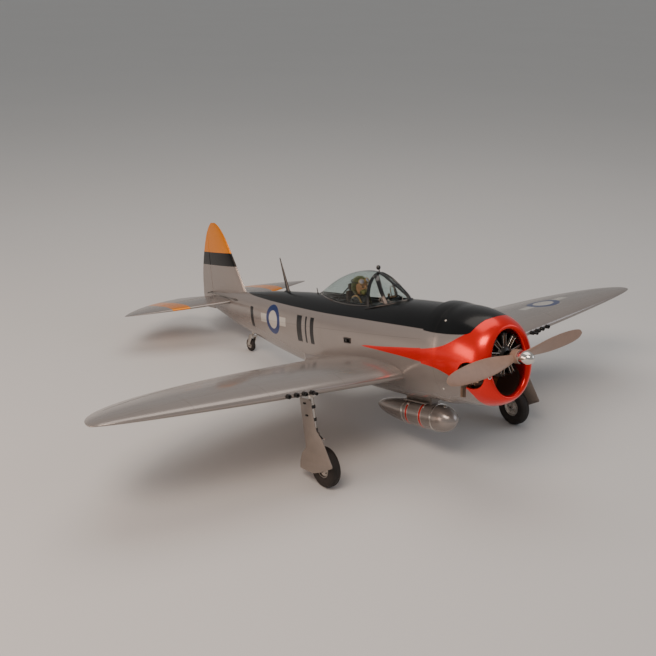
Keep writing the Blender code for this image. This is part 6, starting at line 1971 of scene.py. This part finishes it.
def make_wheel(side, word):
    """A smooth treaded tyre on a dished hub with bolts."""
    centre = mirrored(side, WHEEL)
    profile = [(HUB_R, -0.0100), (HUB_R + 0.0030, -0.0112), (0.0300, -0.0124), (0.0360, -0.0130),
               (0.0405, -0.0124), (0.0438, -0.0104), (0.0456, -0.0076), (0.0463, -0.0052),
               (0.0465, -0.0046), (0.0458, -0.0042), (0.0458, -0.0034), (0.0465, -0.0030),
               (0.0465, 0.0030), (0.0458, 0.0034), (0.0458, 0.0042), (0.0465, 0.0046),
               (0.0463, 0.0052), (0.0456, 0.0076), (0.0438, 0.0104), (0.0405, 0.0124),
               (0.0360, 0.0130), (0.0300, 0.0124), (HUB_R + 0.0030, 0.0112), (HUB_R, 0.0100)]
    tyre = lathe("tyre", rounded(profile, 2, 0.25), centre, (1, 0, 0), 128, ring=True)
    rim = HUB_R - GAP
    dish = rounded([(rim, 0.0092), (rim, -0.0092), (rim - 0.0018, -0.0092), (rim - 0.0034, -0.0050),
                    (0.0095, -0.0042), (0.0080, -0.0092), (0.0034, -0.0095), (0.0034, 0.0095),
                    (0.0080, 0.0092), (0.0095, 0.0042), (rim - 0.0034, 0.0050),
                    (rim - 0.0018, 0.0092), (rim, 0.0092)], 3, 0.2)
    hub = lathe("hub", dish[:-1], centre, (1, 0, 0), 96, ring=True)
    places, faces = [], []
    for turned in (-1, 1):
        for k in range(HUB_BOLTS):
            a = 2 * math.pi * k / HUB_BOLTS
            places.append(centre + Vector((turned * 0.0052, BOLT_CIRCLE * math.cos(a),
                                           BOLT_CIRCLE * math.sin(a))))
            faces.append(Vector((turned, 0, 0)))
    bolts = spread(f"hub_bolts_{word}", places, faces, screw("hub_bolt", 0.0016), "steel")
    piece(f"tyre_{word}_moulded", [(tyre, "rubber")], f"wheel_{word}", [f"tyre_{word}"])
    piece(f"hub_{word}_turned", [(hub, "alloy"), (bolts, "steel")], f"wheel_{word}",
          [f"hub_{word}"])


def make_tail_gear():
    """Steering leg with its fork, and the tail wheel."""
    post, wheel = TAIL_POST, TAIL_WHEEL
    shown = [(rod("leg", (0, post.y, -0.0250), (0, post.y, -0.0600), 0.0040, 32), "alloy"),
             (box("yoke", (-0.0098, 1.0540, -0.0665), (0.0098, 1.0700, -0.0590), 0.0012),
              "alloy")]
    for side in (1, -1):
        outline = [(1.0545, -0.0600), (1.0700, -0.0600), (1.0900, -0.0935), (1.0880, -0.0968),
                   (1.0850, -0.0985), (1.0810, -0.0985), (1.0775, -0.0950)]
        shown.append((plate(f"cheek_{side}", outline, 0.0022,
                            Matrix.Translation((side * 0.0085, 0, 0)) @ DOOR_FRAME, 0.0004),
                      "alloy"))
        shown.append((rod(f"cap_{side}", (side * 0.0096, wheel.y, wheel.z),
                          (side * 0.0115, wheel.y, wheel.z), 0.0034, 24, soft=0.0005), "steel"))
    shown.append((rod("axle", (-0.0110, wheel.y, wheel.z), (0.0110, wheel.y, wheel.z), 0.0020),
                  "steel"))
    piece("tail_leg_fork", shown, "tail_leg", ["tail_leg"])
    tyre = lathe("tail_tyre", rounded([
        (0.0105, -0.0050), (0.0135, -0.0060), (0.0170, -0.0054), (0.0191, -0.0032),
        (0.0196, -0.0010), (0.0196, 0.0010), (0.0191, 0.0032), (0.0170, 0.0054),
        (0.0135, 0.0060), (0.0105, 0.0050)], 3, 0.3), wheel, (1, 0, 0), 96, ring=True)
    disc_form = rounded([(0.0104, 0.0046), (0.0104, -0.0046), (0.0060, -0.0030),
                         (0.0050, -0.0062), (0.0023, -0.0064), (0.0023, 0.0064),
                         (0.0050, 0.0062), (0.0060, 0.0030)], 3, 0.2)
    disc_shape = lathe("tail_disc", disc_form, wheel, (1, 0, 0), 64, ring=True)
    piece("tail_wheel_tyre", [(tyre, "rubber"), (disc_shape, "alloy")], "tail_wheel",
          ["tail_wheel"])


# ---------------------------------------------------------------- stage
def make_stage():
    """Pale floor, soft lights and the camera."""
    bm = bmesh.new()
    bmesh.ops.create_grid(bm, x_segments=1, y_segments=1, size=160.0)
    mesh = bpy.data.meshes.new("floor")
    bm.to_mesh(mesh)
    bm.free()
    floor = bpy.data.objects.new("floor", mesh)
    MODEL.objects.link(floor)
    made, tree, shader = start_finish("pale_floor", Roughness=0.75)
    coords = add_node(tree, "ShaderNodeTexCoord")
    soft = noise(tree, coords.outputs["Object"], 1.2, 2.0)
    tone = shaded(tree, linear("#d2d2d1"), soft, 0.99, 1.01)
    tree.links.new(tone, shader.inputs["Base Color"])
    mesh.materials.append(made)
    world = bpy.context.scene.world or bpy.data.worlds.new("studio")
    bpy.context.scene.world = world
    world.use_nodes = True
    background = world.node_tree.nodes["Background"]
    background.inputs["Color"].default_value = linear("#d6d5d4")
    background.inputs["Strength"].default_value = 0.50
    lamps = (
        ("key", (-2.2, -1.6, 3.0), (1.8, 1.2), 70.0, "#ffe9d8"),
        ("fill", (2.6, -2.4, 1.8), (2.4, 1.6), 18.0, "#eef2ff"),
        ("top", (0.2, 0.6, 3.4), (3.0, 2.4), 40.0, "#fff4ea"),
        ("low", (-2.6, 0.4, 0.7), (1.8, 0.9), 22.0, "#ffd8c0"),
    )
    for name, place, size, power, code in lamps:
        light = bpy.data.lights.new(name, "AREA")
        light.shape = "RECTANGLE"
        light.size, light.size_y = size
        light.energy = power
        light.color = linear(code)[:3]
        lamp = bpy.data.objects.new(name, light)
        lamp.location = place
        aim = Vector((0.0, -0.1, 0.2)) - Vector(place)
        lamp.rotation_euler = aim.to_track_quat("-Z", "Y").to_euler()
        MODEL.objects.link(lamp)
    target = Vector((-0.0684, -0.0848, 0.2347))
    azimuth, height, roll = math.radians(-35.867), math.radians(20.299), math.radians(0.957)
    back = Vector((math.sin(azimuth) * math.cos(height), -math.cos(azimuth) * math.cos(height),
                   math.sin(height)))
    data = bpy.data.cameras.new("camera")
    data.lens = 57.51
    data.sensor_width = 36.0
    camera = bpy.data.objects.new("camera", data)
    camera.location = target + back * 2.6250
    aim = (-back).to_track_quat("-Z", "Y")
    camera.rotation_mode = "QUATERNION"
    camera.rotation_quaternion = aim @ Matrix.Rotation(roll, 3, "Z").to_quaternion()
    MODEL.objects.link(camera)
    bpy.context.scene.camera = camera


CAD_FINISHES = {
    "firewall": "ply", "equipment_tray": "ply", "engine": "engine", "muffler": "exhaust",
    "fuel_tank": "fuel", "battery": "wrap", "receiver": "plastic", "elevator_servo": "plastic",
    "rudder_servo": "plastic", "wing_joiner_tube": "alloy", "elevator_pushrod": "steel",
    "rudder_pushrod": "steel", "crankshaft": "steel",
}


def finish_frame():
    """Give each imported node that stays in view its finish."""
    for name, node in frame["nodes"].items():
        node.data.materials.clear()
        node.data.materials.append(FINISHES[CAD_FINISHES.get(name, "alloy")]())


# ---------------------------------------------------------------- operators
class WARBIRD_OT_body(bpy.types.Operator):
    """Build the fuselage shell with its fairings, paint and power switch"""

    bl_idname = "warbird.body"
    bl_label = "Fuselage"

    def execute(self, context):
        make_body()
        clear_bench()
        return {"FINISHED"}


class WARBIRD_OT_cowl(bpy.types.Operator):
    """Build the engine cowl and its screws"""

    bl_idname = "warbird.cowl"
    bl_label = "Cowl"

    def execute(self, context):
        make_cowl()
        clear_bench()
        return {"FINISHED"}


class WARBIRD_OT_wings(bpy.types.Operator):
    """Build both wing panels with flaps, ailerons, guns and linkages"""

    bl_idname = "warbird.wings"
    bl_label = "Wings"

    def execute(self, context):
        for side, word in ((1, "left"), (-1, "right")):
            make_wing(side, word)
            clear_bench()
        return {"FINISHED"}


class WARBIRD_OT_tail(bpy.types.Operator):
    """Build the tailplane, elevators, fin and rudder"""

    bl_idname = "warbird.tail"
    bl_label = "Tail"

    def execute(self, context):
        for side, word in ((1, "left"), (-1, "right")):
            make_tailplane(side, word)
        make_fin()
        clear_bench()
        return {"FINISHED"}


class WARBIRD_OT_nose(bpy.types.Operator):
    """Build the propeller, its nut, the dummy radial engine and the nose fittings"""

    bl_idname = "warbird.nose"
    bl_label = "Propeller and engine"

    def execute(self, context):
        make_propeller()
        make_radial()
        make_grommet()
        clear_bench()
        return {"FINISHED"}


class WARBIRD_OT_cockpit(bpy.types.Operator):
    """Build the cockpit, its pilot, the windscreen and the bubble canopy"""

    bl_idname = "warbird.cockpit"
    bl_label = "Cockpit"

    def execute(self, context):
        make_cockpit()
        make_pilot()
        make_windscreen()
        make_canopy()
        clear_bench()
        return {"FINISHED"}


class WARBIRD_OT_fittings(bpy.types.Operator):
    """Build the aerials, the drop tank and its pylon"""

    bl_idname = "warbird.fittings"
    bl_label = "Aerials and drop tank"

    def execute(self, context):
        make_aerials()
        make_store()
        clear_bench()
        return {"FINISHED"}


class WARBIRD_OT_gear(bpy.types.Operator):
    """Build both main legs with doors and wheels, and the tail wheel"""

    bl_idname = "warbird.gear"
    bl_label = "Landing gear"

    def execute(self, context):
        for side, word in ((1, "left"), (-1, "right")):
            make_leg(side, word)
            clear_bench()
        make_tail_gear()
        clear_bench()
        return {"FINISHED"}


class WARBIRD_OT_stage(bpy.types.Operator):
    """Set the floor, the lights and the camera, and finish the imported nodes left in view"""

    bl_idname = "warbird.stage"
    bl_label = "Stage"

    def execute(self, context):
        finish_frame()
        make_stage()
        return {"FINISHED"}


class WARBIRD_PT_panel(bpy.types.Panel):
    """Sizes, colours and build steps of the warbird"""

    bl_idname = "WARBIRD_PT_panel"
    bl_label = "Warbird"
    bl_space_type = "VIEW_3D"
    bl_region_type = "UI"
    bl_category = "Warbird"

    def draw(self, context):
        column = self.layout.column()
        for group in (context.scene.warbird_sizes, context.scene.warbird_colours):
            for key in group.bl_rna.properties.keys():
                if key not in ("rna_type", "name"):
                    column.prop(group, key)
        for operator in OPERATORS:
            column.operator(operator.bl_idname)


OPERATORS = (WARBIRD_OT_body, WARBIRD_OT_cowl, WARBIRD_OT_wings, WARBIRD_OT_tail,
             WARBIRD_OT_nose, WARBIRD_OT_cockpit, WARBIRD_OT_fittings, WARBIRD_OT_gear,
             WARBIRD_OT_stage)
CLASSES = (WarbirdColours, WarbirdSizes, *OPERATORS, WARBIRD_PT_panel)


def register():
    """Register the classes and hang the settings on the scene."""
    for cls in CLASSES:
        bpy.utils.register_class(cls)
    bpy.types.Scene.warbird_colours = PointerProperty(type=WarbirdColours)
    bpy.types.Scene.warbird_sizes = PointerProperty(type=WarbirdSizes)


def unregister():
    """Remove the settings and the classes."""
    del bpy.types.Scene.warbird_sizes
    del bpy.types.Scene.warbird_colours
    for cls in reversed(CLASSES):
        bpy.utils.unregister_class(cls)


def main():
    """Build every piece in order."""
    register()
    for operator in OPERATORS:
        group, name = operator.bl_idname.split(".")
        getattr(getattr(bpy.ops, group), name)()


if __name__ == "__main__":
    main()
